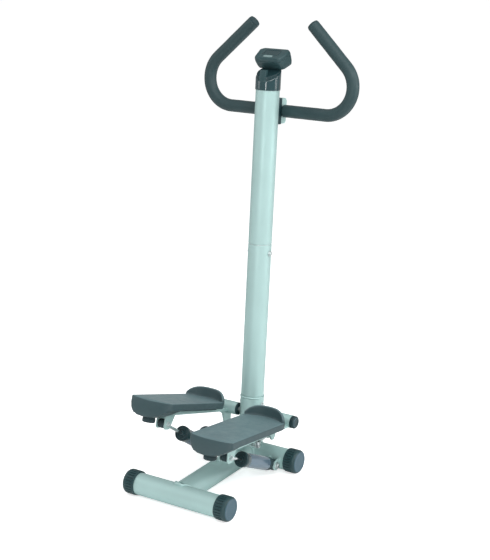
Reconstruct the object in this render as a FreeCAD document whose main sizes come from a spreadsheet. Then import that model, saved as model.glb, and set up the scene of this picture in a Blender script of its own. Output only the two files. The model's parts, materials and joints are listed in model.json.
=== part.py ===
"""Mini stepper with a handlebar column, as a parametric FreeCAD document.

The user stands on the -Y side and faces +Y, where the column is. +X is the user's right, +Z is up.
The origin is on the floor, below the middle of the whole machine. Lengths are millimetres, angles degrees.

Most pieces are built in one of these frames, all turned about X from the floor frame:
column (up the leaning column), bar (the plane of the handlebar), counter (the tilted step counter),
left and right arm (from the pedal axle, -Y runs under the pedal), left and right damper (from its lower bolt).
"""
import FreeCAD, Part
import os
import re
import Sketcher

DIMENSIONS = (
    ("fit_gap", 0.05, "gap round a piece that is fixed in or on another"),
    ("run_gap", 0.06, "radial running clearance of a bush"),
    # base
    ("axle_height", 148, "height of the pedal axle"),
    ("base_height", 31.5, "height of the base tubes' centre lines"),
    ("rear_y", -247.6, "rear stabiliser, on the user's side"),
    ("base_span", 345.5, "rear to front stabiliser"),
    ("base_radius", 30, "stabiliser tube"),
    ("base_wall", 2, "wall of the base tubes"),
    ("beam_radius", 31, "main beam tube"),
    ("beam_set_back", 14, "end of the main beam from a stabiliser's centre line"),
    ("cap_inner", 127.5, "middle of the base to an end cap's open rim"),
    ("cap_length", 37, "end cap"),
    ("cap_radius", 33.5, "end cap"),
    ("cap_cover", 31, "length of tube inside an end cap"),
    # column
    ("lean", 5, "lean of the column away from the user"),
    ("stub_radius", 33, "welded stub at the foot of the column"),
    ("stub_top", 163.5, "seam between stub and lower tube, along the column"),
    ("column_radius", 32, "column tubes"),
    ("column_wall", 1.5, "wall of the column tubes"),
    ("column_seam", 595, "seam between lower and upper tube"),
    ("column_end", 1034, "top of the upper tube, inside its cap"),
    ("sleeve_below", 34, "inner sleeve, below a seam"),
    ("sleeve_above", 60, "inner sleeve, above a seam"),
    ("joint_bolt_drop", 24, "joint bolt, below a seam"),
    ("joint_bolt_radius", 4, "joint bolt"),
    # handlebar and column top
    ("bar_along", 953, "handlebar, along the column"),
    ("bar_behind", 56, "handlebar, behind the column's centre line"),
    ("bar_lean", 6.8, "lean of the handlebar's plane"),
    ("bar_straight", 149, "middle of the bar to the start of a bend"),
    ("bar_bend", 74.5, "bend radius"),
    ("bar_turn", 136.9, "angle of a bend"),
    ("bar_tail", 149, "straight end of the bar after the bend"),
    ("bar_radius", 12.7, "steel handlebar tube"),
    ("bar_wall", 1.5, "wall of the handlebar tube"),
    ("grip_radius", 17, "foam grip"),
    ("grip_start", 20, "middle of the bar to the start of a grip"),
    ("cap_start", 1010, "lower rim of the column cap"),
    ("top_cap_radius", 33.8, "column cap"),
    # step counter
    ("counter_y", "=rear_y + base_span + 105.2", "middle of the counter's top face"),
    ("counter_z", 1133, "middle of the counter's top face"),
    ("counter_tilt", -20, "top face, towards the user"),
    ("counter_front", 40, "half width of the counter's near edge"),
    ("counter_back", 47, "half width of the counter's far edge"),
    ("counter_half_depth", 29, "half depth of the counter"),
    ("counter_lid", 12, "height of the upper housing"),
    ("counter_thick", 39.5, "height of both housings"),
    ("counter_wall", 2.5, "wall of the housings"),
    # pedals and arms
    ("left_rest", 17.9, "left arm above the horizontal"),
    ("right_rest", 8, "right arm above the horizontal"),
    ("mean_rest", "=(left_rest + right_rest) / 2", "both arms when level with each other"),
    ("axle_radius", 8, "pedal axle"),
    ("hub_inner", 38.5, "middle of the axle to the hub tube's inner end"),
    ("hub_outer", 138.5, "middle of the axle to the hub tube's outer end"),
    ("hub_radius", 18, "hub tube of an arm"),
    ("hub_wall", 2, "wall of the hub tube"),
    ("bush_flange", 5, "thickness of a bush's flange"),
    ("pedal_x", 99.5, "middle of a pedal"),
    ("pedal_half", 65.5, "half width of a pedal"),
    ("arm_x", 101, "middle of an arm and its damper"),
    ("pedal_near", 349, "axle to the near edge of the pedal's surface"),
    ("pedal_keel", -12, "middle of the pedal's belly and bumper, across from the pedal's middle"),
    ("pedal_top", 19, "pedal's surface above the axle"),
    ("arm_top", -8, "top of the arm's channel"),
    ("arm_bottom", -18, "bottom of the arm's channel at its near end"),
    ("arm_bottom_hub", -12, "bottom of the arm's channel at the hub"),
    ("arm_half", 38, "half width of the arm's channel"),
    ("arm_wall", 3, "steel of the arm"),
    ("eye_along", 269.3, "axle to damper eye, along the arm"),
    ("eye_drop", 48, "damper eye, below the arm's centre line"),
    ("lug_radius", 60, "axle to the link pin"),
    ("lug_x", 72.5, "middle of a lug plate"),
    # dampers
    ("foot_y", "=rear_y + base_span - 47.5", "lower bolt of the dampers"),
    ("foot_z", 30, "lower bolt of the dampers"),
    ("left_eye_y", "=rear_y + base_span - eye_along * cos(left_rest) - eye_drop * sin(left_rest)", "eye"),
    ("left_eye_z", "=axle_height + eye_along * sin(left_rest) - eye_drop * cos(left_rest)", "eye"),
    ("right_eye_y", "=rear_y + base_span - eye_along * cos(right_rest) - eye_drop * sin(right_rest)", "eye"),
    ("right_eye_z", "=axle_height + eye_along * sin(right_rest) - eye_drop * cos(right_rest)", "eye"),
    ("left_damper_tilt", "=atan2(left_eye_z - foot_z; foot_y - left_eye_y)", "above the horizontal"),
    ("right_damper_tilt", "=atan2(right_eye_z - foot_z; foot_y - right_eye_y)", "above the horizontal"),
    ("left_damper_span", "=hypot(left_eye_z - foot_z; foot_y - left_eye_y)", "lower bolt to eye"),
    ("right_damper_span", "=hypot(right_eye_z - foot_z; foot_y - right_eye_y)", "lower bolt to eye"),
    ("damper_radius", 19.5, "damper cylinder"),
    ("damper_bore", 15, "bore of the cylinder"),
    ("damper_length", 172.5, "lower bolt to the face of the head ring"),
    ("head_radius", 21.5, "head ring"),
    ("rod_radius", 4.5, "piston rod"),
    ("rod_length", 200, "eye to the piston's end"),
    ("eye_radius", 11, "eye of the piston rod"),
    # equaliser linkage
    ("rocker_back", 62, "axle to the equaliser's bolt, towards the user"),
    ("rocker_half", 60, "half length of the equaliser bar"),
    ("rocker_z", 76, "underside of the equaliser bar"),
    ("rocker_turn", "=left_rest - mean_rest", "turn of the equaliser bar at rest"),
    ("link_x", 58.7, "middle of a link rod"),
)

doc = FreeCAD.newDocument("stepper")
sheet = doc.addObject("Spreadsheet::Sheet", "sizes")
ALIASES = re.compile(r"\b(" + "|".join(alias for alias, _, _ in DIMENSIONS) + r")\b")

# frame: its origin's y and z, and its tilt about -X
FRAMES = {
    "floor": ("0", "0", "0"),
    "column": ("rear_y + base_span", "base_height", "lean"),
    "bar": (
        "rear_y + base_span + bar_along * sin(lean) + bar_behind * cos(lean)",
        "base_height + bar_along * cos(lean) - bar_behind * sin(lean)",
        "bar_lean",
    ),
    "counter": ("counter_y", "counter_z", "counter_tilt"),
    "left_arm": ("rear_y + base_span", "axle_height", "left_rest"),
    "right_arm": ("rear_y + base_span", "axle_height", "right_rest"),
    "left_damper": ("foot_y", "foot_z", "left_damper_tilt"),
    "right_damper": ("foot_y", "foot_z", "right_damper_tilt"),
}
SIDES = (("left", -1), ("right", 1))


def fill_sheet():
    for row, (alias, size, note) in enumerate(DIMENSIONS, start=1):
        sheet.set(f"A{row}", alias)
        sheet.set(f"B{row}", str(size))
        sheet.set(f"C{row}", note)
        sheet.setAlias(f"B{row}", alias)
    doc.recompute()


def named(expression):
    """The expression with each size pointed at its cell of the sheet."""
    return ALIASES.sub(r"sizes.\1", str(expression))


def number(expression):
    return float(sheet.evalExpression(named(expression)))


def bind(piece, path, expression):
    piece.setExpression(path, named(expression))


def place(piece, frame, x="0", y="0", z="0"):
    """Puts a piece's own origin at x, y, z of a frame, turned as the frame is."""
    origin_y, origin_z, tilt = FRAMES[frame]
    piece.Placement = FreeCAD.Placement(FreeCAD.Vector(), FreeCAD.Rotation(FreeCAD.Vector(-1, 0, 0), 1))
    bind(piece, "Placement.Base.x", x)
    bind(piece, "Placement.Base.y", f"({origin_y}) + ({y}) * cos({tilt}) + ({z}) * sin({tilt})")
    bind(piece, "Placement.Base.z", f"({origin_z}) - ({y}) * sin({tilt}) + ({z}) * cos({tilt})")
    bind(piece, "Placement.Rotation.Angle", tilt)
    return piece


# ---- sketches and features -------------------------------------------------------------------------------------

def body(name):
    return doc.addObject("PartDesign::Body", name)


def sketch(owner, plane, offset="0"):
    """An empty sketch on one of the body's own planes, shifted along that plane's normal."""
    drawn = owner.newObject("Sketcher::SketchObject", owner.Name + "_sketch")
    role = next(f for f in owner.Origin.OriginFeatures if f.Role == plane + "_Plane")
    drawn.AttachmentSupport = [(role, "")]
    drawn.MapMode = "FlatFace"
    bind(drawn, "AttachmentOffset.Base.z", offset)
    return drawn


def pin_point(drawn, line, vertex, x, y):
    """Fixes a point of a sketch. A coordinate that is None stays free."""
    for kind, axis, expression in (("DistanceX", -2, x), ("DistanceY", -1, y)):
        if expression is None:
            continue
        if expression == "0":
            drawn.addConstraint(Sketcher.Constraint("PointOnObject", line, vertex, axis))
            continue
        here = drawn.addConstraint(Sketcher.Constraint(kind, -1, 1, line, vertex, number(expression)))
        bind(drawn, f"Constraints[{here}]", expression)


def outline(drawn, *points):
    """A closed outline of straight lines through points given as pairs of expressions."""
    spots = [FreeCAD.Vector(number(x), number(y), 0) for x, y in points]
    first = drawn.GeometryCount
    count = len(points)
    for i in range(count):
        drawn.addGeometry(Part.LineSegment(spots[i], spots[(i + 1) % count]), False)
    for i in range(count):
        drawn.addConstraint(Sketcher.Constraint("Coincident", first + i, 2, first + (i + 1) % count, 1))
    for i, (x, y) in enumerate(points):
        pin_point(drawn, first + i, 1, x, y)
    return drawn


def rectangle(drawn, left, right, low, high):
    return outline(drawn, (left, low), (right, low), (right, high), (left, high))


def circle(drawn, radius, x="0", y="0"):
    centre = FreeCAD.Vector(number(x), number(y), 0)
    line = drawn.addGeometry(Part.Circle(centre, FreeCAD.Vector(0, 0, 1), number(radius)), False)
    pin_point(drawn, line, 3, x, y)
    here = drawn.addConstraint(Sketcher.Constraint("Radius", line, number(radius)))
    bind(drawn, f"Constraints[{here}]", radius)
    return drawn


def pad(drawn, length, both_ways=False, backwards=False):
    owner = drawn.getParentGeoFeatureGroup()
    feature = owner.newObject("PartDesign::Pad", owner.Name + "_pad")
    feature.Profile = drawn
    feature.SideType = "Symmetric" if both_ways else "One side"
    feature.Reversed = backwards
    bind(feature, "Length", length)
    return owner


def pocket(drawn, length, both_ways=True, backwards=False):
    owner = drawn.getParentGeoFeatureGroup()
    feature = owner.newObject("PartDesign::Pocket", owner.Name + "_pocket")
    feature.Profile = drawn
    feature.SideType = "Symmetric" if both_ways else "One side"
    feature.Reversed = backwards
    bind(feature, "Length", length)
    return owner


def revolve(drawn, axis):
    owner = drawn.getParentGeoFeatureGroup()
    feature = owner.newObject("PartDesign::Revolution", owner.Name + "_turned")
    feature.Profile = drawn
    role = next(f for f in owner.Origin.OriginFeatures if f.Role == axis + "_Axis")
    feature.ReferenceAxis = (role, [""])
    feature.Angle = 360
    return owner


def disc(owner, plane, radius, start, length, x="0", y="0", bore=None):
    """A round boss or ring that starts at an offset from the plane and runs along its normal."""
    drawn = circle(sketch(owner, plane, start), radius, x, y)
    if bore:
        circle(drawn, bore, x, y)
    return pad(drawn, length)


def loft(owner, sections):
    feature = owner.newObject("PartDesign::AdditiveLoft", owner.Name + "_loft")
    feature.Profile = sections[0]
    feature.Sections = sections[1:]
    feature.Ruled = True
    return owner


def mirrored(piece, label):
    """The same piece on the other side of the machine's middle plane."""
    twin = doc.addObject("Part::Mirroring", label)
    twin.Source = piece
    twin.Normal = FreeCAD.Vector(1, 0, 0)
    return twin


def group(label, pieces):
    both = doc.addObject("Part::Compound", label)
    both.Links = pieces
    return both


def boolean(kind, label, base, tool):
    result = doc.addObject("Part::" + kind, label)
    result.Base = base
    result.Tool = tool
    return result


def fastener(label, plane, start, length, radius, head_radius, head, nut="0"):
    """A bolt along a plane's normal: a head before its start and, if it has one, a nut after its end."""
    bolt = body(label)
    disc(bolt, plane, radius, start, length)
    disc(bolt, plane, head_radius, f"({start}) - ({head})", head)
    if nut != "0":
        disc(bolt, plane, head_radius, f"({start}) + ({length})", nut)
    return bolt


# ---- base ------------------------------------------------------------------------------------------------------

def stabilizer(label, y):
    tube = body(label)
    half = "(cap_inner + cap_cover)"
    drawn = circle(sketch(tube, "YZ"), "base_radius")
    circle(drawn, "base_radius - base_wall")
    pad(drawn, f"2 * {half}", both_ways=True)
    return place(tube, "floor", y=y, z="base_height")


def main_beam():
    """Tube from stabiliser to stabiliser, both ends cut to sit on the round cross tubes."""
    beam = body("main_beam")
    drawn = circle(sketch(beam, "XZ", "-beam_set_back"), "beam_radius")
    circle(drawn, "beam_radius - base_wall")
    pad(drawn, "base_span - 2 * beam_set_back", backwards=True)
    cuts = circle(sketch(beam, "YZ"), "base_radius + fit_gap")
    circle(cuts, "base_radius + fit_gap", x="base_span")
    pocket(cuts, "4 * base_radius")
    return place(beam, "floor", y="rear_y", z="base_height")


def end_caps(label, y):
    """Plastic caps over both ends of a stabiliser, flat underneath where they stand on the floor."""
    cap = body(label + "_right")
    rim = "cap_radius - 1.5"
    profile = outline(
        sketch(cap, "XZ"),
        ("0", "base_radius + fit_gap"),
        ("0", rim),
        ("3", "cap_radius"),
        ("cap_length - 7", "cap_radius"),
        ("cap_length - 2", "cap_radius - 3"),
        ("cap_length", "cap_radius - 8"),
        ("cap_length", "0"),
        ("cap_cover + fit_gap", "0"),
        ("cap_cover + fit_gap", "base_radius + fit_gap"),
    )
    revolve(profile, "X")
    flat = rectangle(sketch(cap, "YZ"), "-2 * cap_radius", "2 * cap_radius", "-2 * cap_radius", "-base_height")
    pocket(flat, "4 * cap_length")
    place(cap, "floor", x="cap_inner", y=y, z="base_height")
    return group(label, [cap, mirrored(cap, label + "_left")])


def damper_brackets():
    """Two ears on the front stabiliser for each damper's lower bolt."""
    ears = []
    for name, side in SIDES:
        for inner in ("arm_x - 17", "arm_x + 13"):
            ear = body(f"ear_{name}")
            reach = "rear_y + base_span - foot_y"
            drop = "base_height - foot_z"
            blade = rectangle(sketch(ear, "YZ"), "0", reach, "-13", "15")
            pad(blade, "4")
            disc(ear, "YZ", "14", "0", "4")
            cut = circle(sketch(ear, "YZ"), "base_radius + fit_gap", x=reach, y=drop)
            pocket(cut, "20")
            pocket(circle(sketch(ear, "YZ"), "5 + fit_gap"), "20")
            start = inner if side > 0 else f"-({inner}) - 4"
            ears.append(place(ear, "floor", x=start, y="foot_y", z="foot_z"))
    return group("damper_brackets", ears)


def damper_foot_bolts():
    bolts = []
    for name, side in SIDES:
        bolt = fastener(f"foot_bolt_{name}", "YZ", "-17.2", "34.4", "5", "8.5", "4", nut="5")
        bolts.append(place(bolt, "floor", x=f"{side} * arm_x", y="foot_y", z="foot_z"))
    return group("damper_foot_bolts", bolts)


# ---- column ----------------------------------------------------------------------------------------------------

def column_stub():
    """Short welded tube that carries the axle and takes the column. Its foot is cut to sit on the base tubes."""
    tube = body("stub_tube")
    disc(tube, "XY", "stub_radius", "6", "stub_top - 6", bore="stub_radius - 2.5")
    bolt = circle(sketch(tube, "YZ"), "joint_bolt_radius + fit_gap", y="stub_top - joint_bolt_drop")
    pocket(bolt, "4 * stub_radius")
    place(tube, "column")
    cutter = body("stub_cutter")
    drawn = circle(sketch(cutter, "YZ"), "base_radius + fit_gap")
    pad(drawn, "6 * base_radius", both_ways=True)
    axle = circle(sketch(cutter, "YZ"), "axle_radius + fit_gap", y="axle_height - base_height")
    pad(axle, "6 * base_radius", both_ways=True)
    place(cutter, "floor", y="rear_y + base_span", z="base_height")
    beam = body("stub_beam_cutter")
    pad(circle(sketch(beam, "XZ"), "beam_radius + fit_gap"), "3 * base_radius")
    place(beam, "floor", y="rear_y + base_span", z="base_height")
    sitting = boolean("Cut", "stub_on_stabilizer", tube, cutter)
    return boolean("Cut", "column_stub", sitting, beam)


def column_tube(label, low, high, holes=()):
    """A straight tube of the column. Each hole is a plane, a radius and a height along the column."""
    tube = body(label)
    disc(tube, "XY", "column_radius", "0", f"({high}) - ({low})", bore="column_radius - column_wall")
    for plane, radius, along in holes:
        pocket(circle(sketch(tube, plane), radius, y=f"({along}) - ({low})"), "4 * column_radius",
               both_ways=plane == "YZ")
    return place(tube, "column", z=low)


def column_sleeves():
    """Inner sleeves that join the tubes at the two seams."""
    sleeves = []
    for name, seam in (("low", "stub_top"), ("high", "column_seam")):
        sleeve = body("sleeve_" + name)
        disc(sleeve, "XY", "column_radius - column_wall - fit_gap", "-sleeve_below",
             "sleeve_below + sleeve_above", bore="column_radius - column_wall - 3")
        hole = circle(sketch(sleeve, "YZ"), "joint_bolt_radius + fit_gap", y="-joint_bolt_drop")
        pocket(hole, "4 * column_radius")
        sleeves.append(place(sleeve, "column", z=seam))
    return group("column_sleeves", sleeves)


def column_joint_bolts():
    bolts = []
    for name, seam, grip in (("low", "stub_top", "stub_radius"), ("high", "column_seam", "column_radius")):
        bolt = fastener("joint_bolt_" + name, "YZ", f"-({grip})", f"2 * ({grip})", "joint_bolt_radius",
                        "6.5", "4", nut="4.5")
        bolts.append(place(bolt, "column", z=f"{seam} - joint_bolt_drop"))
    return group("column_joint_bolts", bolts)


def column_cap():
    """Glossy cap over the top of the column, cut off at a slant that is low on the user's side."""
    cap = body("column_cap")
    disc(cap, "XY", "top_cap_radius", "0", "66")
    socket = "column_end - cap_start + 1"
    inner = circle(sketch(cap, "XY"), "column_radius + fit_gap")
    pocket(inner, socket, both_ways=False, backwards=True)
    slant = outline(
        sketch(cap, "YZ"),
        ("-50", "13"),
        ("50", "73"),
        ("50", "90"),
        ("-50", "90"),
    )
    pocket(slant, "4 * top_cap_radius")
    return place(cap, "column", z="cap_start")


# ---- handlebar -------------------------------------------------------------------------------------------------

BEND_X = "bar_straight + bar_bend * sin(bar_turn)"
BEND_Z = "bar_bend * (1 - cos(bar_turn))"
TIP_X = f"{BEND_X} + bar_tail * cos(bar_turn)"
TIP_Z = f"{BEND_Z} + bar_tail * sin(bar_turn)"


def bar_path(owner, start):
    """Centre line of the right half of the bar: straight, bend, straight tail."""
    path = sketch(owner, "XZ")
    spots = [(start, "0"), ("bar_straight", "0"), (BEND_X, BEND_Z), (TIP_X, TIP_Z)]
    a, b, c, d = (FreeCAD.Vector(number(x), number(z), 0) for x, z in spots)
    middle = FreeCAD.Vector(number("bar_straight + bar_bend * sin(bar_turn / 2)"),
                            number("bar_bend * (1 - cos(bar_turn / 2))"), 0)
    path.addGeometry(Part.LineSegment(a, b), False)
    path.addGeometry(Part.Arc(b, middle, c), False)
    path.addGeometry(Part.LineSegment(c, d), False)
    path.addConstraint(Sketcher.Constraint("Coincident", 0, 2, 1, 1))
    path.addConstraint(Sketcher.Constraint("Coincident", 1, 2, 2, 1))
    pin_point(path, 0, 1, *spots[0])
    pin_point(path, 0, 2, *spots[1])
    pin_point(path, 1, 2, None, BEND_Z)
    pin_point(path, 1, 3, "bar_straight", "bar_bend")
    pin_point(path, 2, 2, *spots[3])
    return path


def bar_pipe(owner, start, radius, bore):
    ring = circle(sketch(owner, "YZ", start), radius)
    circle(ring, bore)
    pipe = owner.newObject("PartDesign::AdditivePipe", owner.Name + "_pipe")
    pipe.Profile = ring
    pipe.Spine = bar_path(owner, start)
    return pipe


def handlebar_tube():
    tube = body("handlebar_tube")
    pipe = bar_pipe(tube, "0", "bar_radius", "bar_radius - bar_wall")
    twin = tube.newObject("PartDesign::Mirrored", "handlebar_tube_twin")
    twin.Originals = [pipe]
    twin.MirrorPlane = (next(f for f in tube.Origin.OriginFeatures if f.Role == "YZ_Plane"), [""])
    tube.Tip = twin
    return place(tube, "bar")


def grips():
    right = body("grip_right")
    bar_pipe(right, "grip_start", "grip_radius", "bar_radius + fit_gap")
    place(right, "bar")
    return [right, mirrored(right, "grip_left")]


def bar_end_plugs():
    """Plastic plugs in the open ends of the handlebar."""
    plug = body("end_plug_right")
    disc(plug, "XY", "bar_radius - bar_wall - fit_gap", "-16", "16")
    disc(plug, "XY", "grip_radius - 1", "0", "3")
    turned = doc.addObject("Part::Compound", "end_plug_turned")
    turned.Links = [plug]
    plug.Placement = FreeCAD.Placement(FreeCAD.Vector(), FreeCAD.Rotation(FreeCAD.Vector(0, 1, 0), 1))
    bind(plug, "Placement.Base.x", TIP_X)
    bind(plug, "Placement.Base.z", TIP_Z)
    bind(plug, "Placement.Rotation.Angle", "90 - bar_turn")
    place(turned, "bar")
    return group("bar_end_plugs", [turned, mirrored(turned, "end_plug_left")])


def clamp_block(label, near, far, half_width, half_height, corner):
    """A block with a round cut for the bar, and its far corners cut off."""
    block = body(label)
    side = outline(
        sketch(block, "YZ"),
        (near, f"-{half_height}"),
        (f"{far} - {corner}", f"-{half_height}"),
        (far, f"-{half_height} + {corner}"),
        (far, f"{half_height} - {corner}"),
        (f"{far} - {corner}", half_height),
        (near, half_height),
    )
    pad(side, f"2 * {half_width}", both_ways=True)
    pocket(circle(sketch(block, "YZ"), "bar_radius + fit_gap", x="bar_behind"), "200")
    return block


def handlebar_mount():
    saddle = clamp_block("handlebar_saddle", "20", "bar_behind - 10", "19", "35", "1")
    around = circle(sketch(saddle, "XY", "-60"), "column_radius + fit_gap")
    pocket(around, "300")
    clamp = clamp_block("handlebar_clamp", "bar_behind - 9.5", "bar_behind + 16", "18", "34", "6")
    slot = rectangle(sketch(clamp, "YZ"), "0", "bar_behind", "-bar_radius - fit_gap", "bar_radius + fit_gap")
    pocket(slot, "200")
    bolts = []
    for height in ("-21", "21"):
        for block in (saddle, clamp):
            hole = circle(sketch(block, "XZ"), "4 + fit_gap", y=height)
            pocket(hole, "200", both_ways=False, backwards=False)
        bolt = fastener("clamp_bolt", "XZ", "-(bar_behind + 16)", "bar_behind - 11", "4", "7", "5")
        bolts.append(place(bolt, "column", z=f"bar_along + ({height})"))
    for block in (saddle, clamp):
        place(block, "column", z="bar_along")
    return [saddle, clamp, group("handlebar_bolts", bolts)]


# ---- step counter ----------------------------------------------------------------------------------------------

def counter_plan(drawn, inset="0"):
    """Outline of the counter seen from above: a little wider at the back, corners cut."""
    front = f"(counter_front - ({inset}))"
    back = f"(counter_back - ({inset}))"
    depth = f"(counter_half_depth - ({inset}))"
    return outline(
        drawn,
        (f"-{front} + 6", f"-{depth}"),
        (f"{front} - 6", f"-{depth}"),
        (front, f"-{depth} + 5"),
        (back, f"{depth} - 9"),
        (f"{back} - 9", depth),
        (f"-{back} + 9", depth),
        (f"-{back}", f"{depth} - 9"),
        (f"-{front}", f"-{depth} + 5"),
    )


def counter_upper_housing():
    shell = body("counter_upper_housing")
    pad(counter_plan(sketch(shell, "XY", "-counter_lid")), "counter_lid")
    inner = counter_plan(sketch(shell, "XY", "-counter_lid"), inset="counter_wall")
    pocket(inner, "counter_lid - counter_wall", both_ways=False, backwards=True)
    pocket(rectangle(sketch(shell, "XY"), "-23", "23", "-8", "16"), "20")
    pocket(rectangle(sketch(shell, "XY"), "-14.2", "14.2", "-24.2", "-13.8"), "20")
    return place(shell, "counter")


def counter_lower_housing():
    """Tapered lower shell, open to the upper one, with a battery compartment under it."""
    shell = body("counter_lower_housing")
    top = counter_plan(sketch(shell, "XY", "-counter_lid"))
    bottom = outline(
        sketch(shell, "XY", "-counter_thick"),
        ("-37", "-17"),
        ("37", "-17"),
        ("41", "-12"),
        ("45", "18"),
        ("37", "26"),
        ("-37", "26"),
        ("-45", "18"),
        ("-41", "-12"),
    )
    loft(shell, [top, bottom])
    inner = rectangle(sketch(shell, "XY", "-counter_lid"), "-27", "27", "-10", "22")
    pocket(inner, "counter_thick - counter_lid - 3", both_ways=False)
    hatch = rectangle(sketch(shell, "XZ", "-22"), "-25", "25", "-counter_thick + 6", "-counter_lid - 3")
    pocket(hatch, "20", both_ways=False)
    return place(shell, "counter")


def counter_inside():
    window = body("counter_window")
    pad(rectangle(sketch(window, "XY", "-2"), "-22.9", "22.9", "-7.9", "15.9"), "2")
    display = body("counter_display")
    pad(rectangle(sketch(display, "XY", "-5"), "-20", "20", "-6", "14"), "2.5")
    board = body("counter_board")
    pad(rectangle(sketch(board, "XY", "-8"), "-30", "30", "-20", "18"), "1.6")
    battery = body("counter_battery")
    disc(battery, "YZ", "5.2", "-22", "42", x="9", y="-22")
    disc(battery, "YZ", "2", "20", "1.5", x="9", y="-22")
    door = body("battery_door")
    low, high = "-counter_thick + 6.1", "-counter_lid - 3.1"
    pad(rectangle(sketch(door, "XZ", "-22.3"), "-24.9", "24.9", low, high), "2", backwards=True)
    button = body("counter_button")
    pad(rectangle(sketch(button, "XY", "-4.5"), "-13.9", "13.9", "-23.9", "-14.1"), "5.7")
    pieces = [window, display, board, battery, door, button]
    return [place(piece, "counter") for piece in pieces]


def counter_neck():
    """Round collar that fills the space between the slanted cap and the counter's underside."""
    collar = body("neck_collar")
    disc(collar, "XY", "top_cap_radius - 2.5", "14", "80")
    place(collar, "column", z="cap_start")
    slope = body("cap_envelope")
    below = outline(
        sketch(slope, "YZ"),
        ("-50", "13"),
        ("50", "73"),
        ("50", "-20"),
        ("-50", "-20"),
    )
    pad(below, "4 * top_cap_radius", both_ways=True)
    place(slope, "column", z="cap_start")
    above = body("counter_envelope")
    pad(rectangle(sketch(above, "XY", "-counter_thick - fit_gap"), "-90", "90", "-90", "90"), "90")
    place(above, "counter")
    return boolean("Cut", "counter_neck", boolean("Cut", "neck_on_cap", collar, slope), above)


# ---- arms and pedals -------------------------------------------------------------------------------------------

def axle():
    rod = body("pivot_axle")
    pad(circle(sketch(rod, "YZ"), "axle_radius"), "2 * (hub_outer + bush_flange + 5)", both_ways=True)
    return place(rod, "floor", y="rear_y + base_span", z="axle_height")


def axle_end_nuts():
    nut = body("axle_nut_right")
    start = "hub_outer + bush_flange + 0.5"
    disc(nut, "YZ", "17.5", start, "7")
    disc(nut, "YZ", "14", f"{start} + 7", "1.5")
    hole = circle(sketch(nut, "YZ", start), "axle_radius + fit_gap")
    pocket(hole, "5", both_ways=False, backwards=True)
    place(nut, "floor", y="rear_y + base_span", z="axle_height")
    return group("axle_end_nuts", [nut, mirrored(nut, "axle_nut_left")])


def hub_tube(name, side):
    tube = body(f"hub_tube_{name}")
    start = "hub_inner" if side > 0 else "-hub_outer"
    disc(tube, "YZ", "hub_radius", start, "hub_outer - hub_inner", bore="hub_radius - hub_wall")
    return place(tube, f"{name}_arm")


def hub_bushes(name, side):
    """Flanged plastic bushes at both ends of the hub tube; they turn on the axle with it."""
    bushes = []
    for end, flange, sleeve in (
        ("inner", "hub_inner - bush_flange", "hub_inner"),
        ("outer", "hub_outer", "hub_outer - 20"),
    ):
        bush = body(f"bush_{end}_{name}")
        for radius, start, length in (
            ("hub_radius - 0.5", flange, "bush_flange"),
            ("hub_radius - hub_wall - fit_gap", sleeve, "20"),
        ):
            at = start if side > 0 else f"-({start}) - ({length})"
            disc(bush, "YZ", radius, at, length)
        pocket(circle(sketch(bush, "YZ"), "axle_radius + run_gap"), "400")
        bushes.append(place(bush, f"{name}_arm"))
    return group(f"hub_bushes_{name}", bushes)


def pedal_arm(name, side):
    """Channel under the pedal, welded to the hub tube, with a clevis for the damper and a lug for the link."""
    arm = body(f"pedal_arm_{name}")
    middle = f"{side} * arm_x"
    channel = outline(
        sketch(arm, "XZ", "8"),
        (f"{middle} - arm_half", "arm_bottom"),
        (f"{middle} - arm_half + arm_wall", "arm_bottom"),
        (f"{middle} - arm_half + arm_wall", "arm_top - arm_wall"),
        (f"{middle} + arm_half - arm_wall", "arm_top - arm_wall"),
        (f"{middle} + arm_half - arm_wall", "arm_bottom"),
        (f"{middle} + arm_half", "arm_bottom"),
        (f"{middle} + arm_half", "arm_top"),
        (f"{middle} - arm_half", "arm_top"),
    )
    pad(channel, "eye_along + 10")
    taper = outline(
        sketch(arm, "YZ"),
        ("-eye_along - 30", "arm_bottom"),
        ("0", "arm_bottom_hub"),
        ("0", "2 * arm_bottom"),
        ("-eye_along - 30", "2 * arm_bottom"),
    )
    pocket(taper, "400")
    for inner in ("11.3", "-14.8"):
        cheek = outline(
            sketch(arm, "YZ", f"{middle} + ({inner})"),
            ("-eye_along - 14", "arm_top - 1"),
            ("-eye_along - 14", "-eye_drop - 8"),
            ("-eye_along - 9", "-eye_drop - 14"),
            ("-eye_along + 9", "-eye_drop - 14"),
            ("-eye_along + 14", "-eye_drop - 8"),
            ("-eye_along + 34", "arm_top - 1"),
        )
        pad(cheek, "3.5")
    lug_y = "lug_radius * sin(mean_rest)"
    lug_z = "-lug_radius * cos(mean_rest)"
    plate = f"{side} * lug_x - 2.5"
    lug = outline(
        sketch(arm, "YZ", plate),
        ("-46", "arm_top - 1"),
        ("17", "-4"),
        (f"{lug_y} + 12", f"{lug_z} + 2"),
        (f"{lug_y} + 5", f"{lug_z} - 10"),
        (f"{lug_y} - 6", f"{lug_z} - 10"),
        (f"{lug_y} - 12", lug_z),
        ("-24", "arm_bottom_hub - 8"),
        ("-46", "arm_bottom_hub - 1"),
    )
    pad(lug, "5")
    pin_start = "link_x - 7" if side > 0 else "-lug_x - 2.5"
    disc(arm, "YZ", "4", pin_start, "lug_x + 9.5 - link_x", x=lug_y, y=lug_z)
    pocket(circle(sketch(arm, "YZ"), "hub_radius + fit_gap"), "400")
    pocket(circle(sketch(arm, "YZ"), "4 + fit_gap", x="-eye_along", y="-eye_drop"), "400")
    for along in ("-85", "-228"):
        for across in ("-16", "16"):
            hole = circle(sketch(arm, "XY"), "3 + fit_gap", x=f"{middle} + ({across})", y=along)
            pocket(hole, "40")
    return place(arm, f"{name}_arm")


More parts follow.
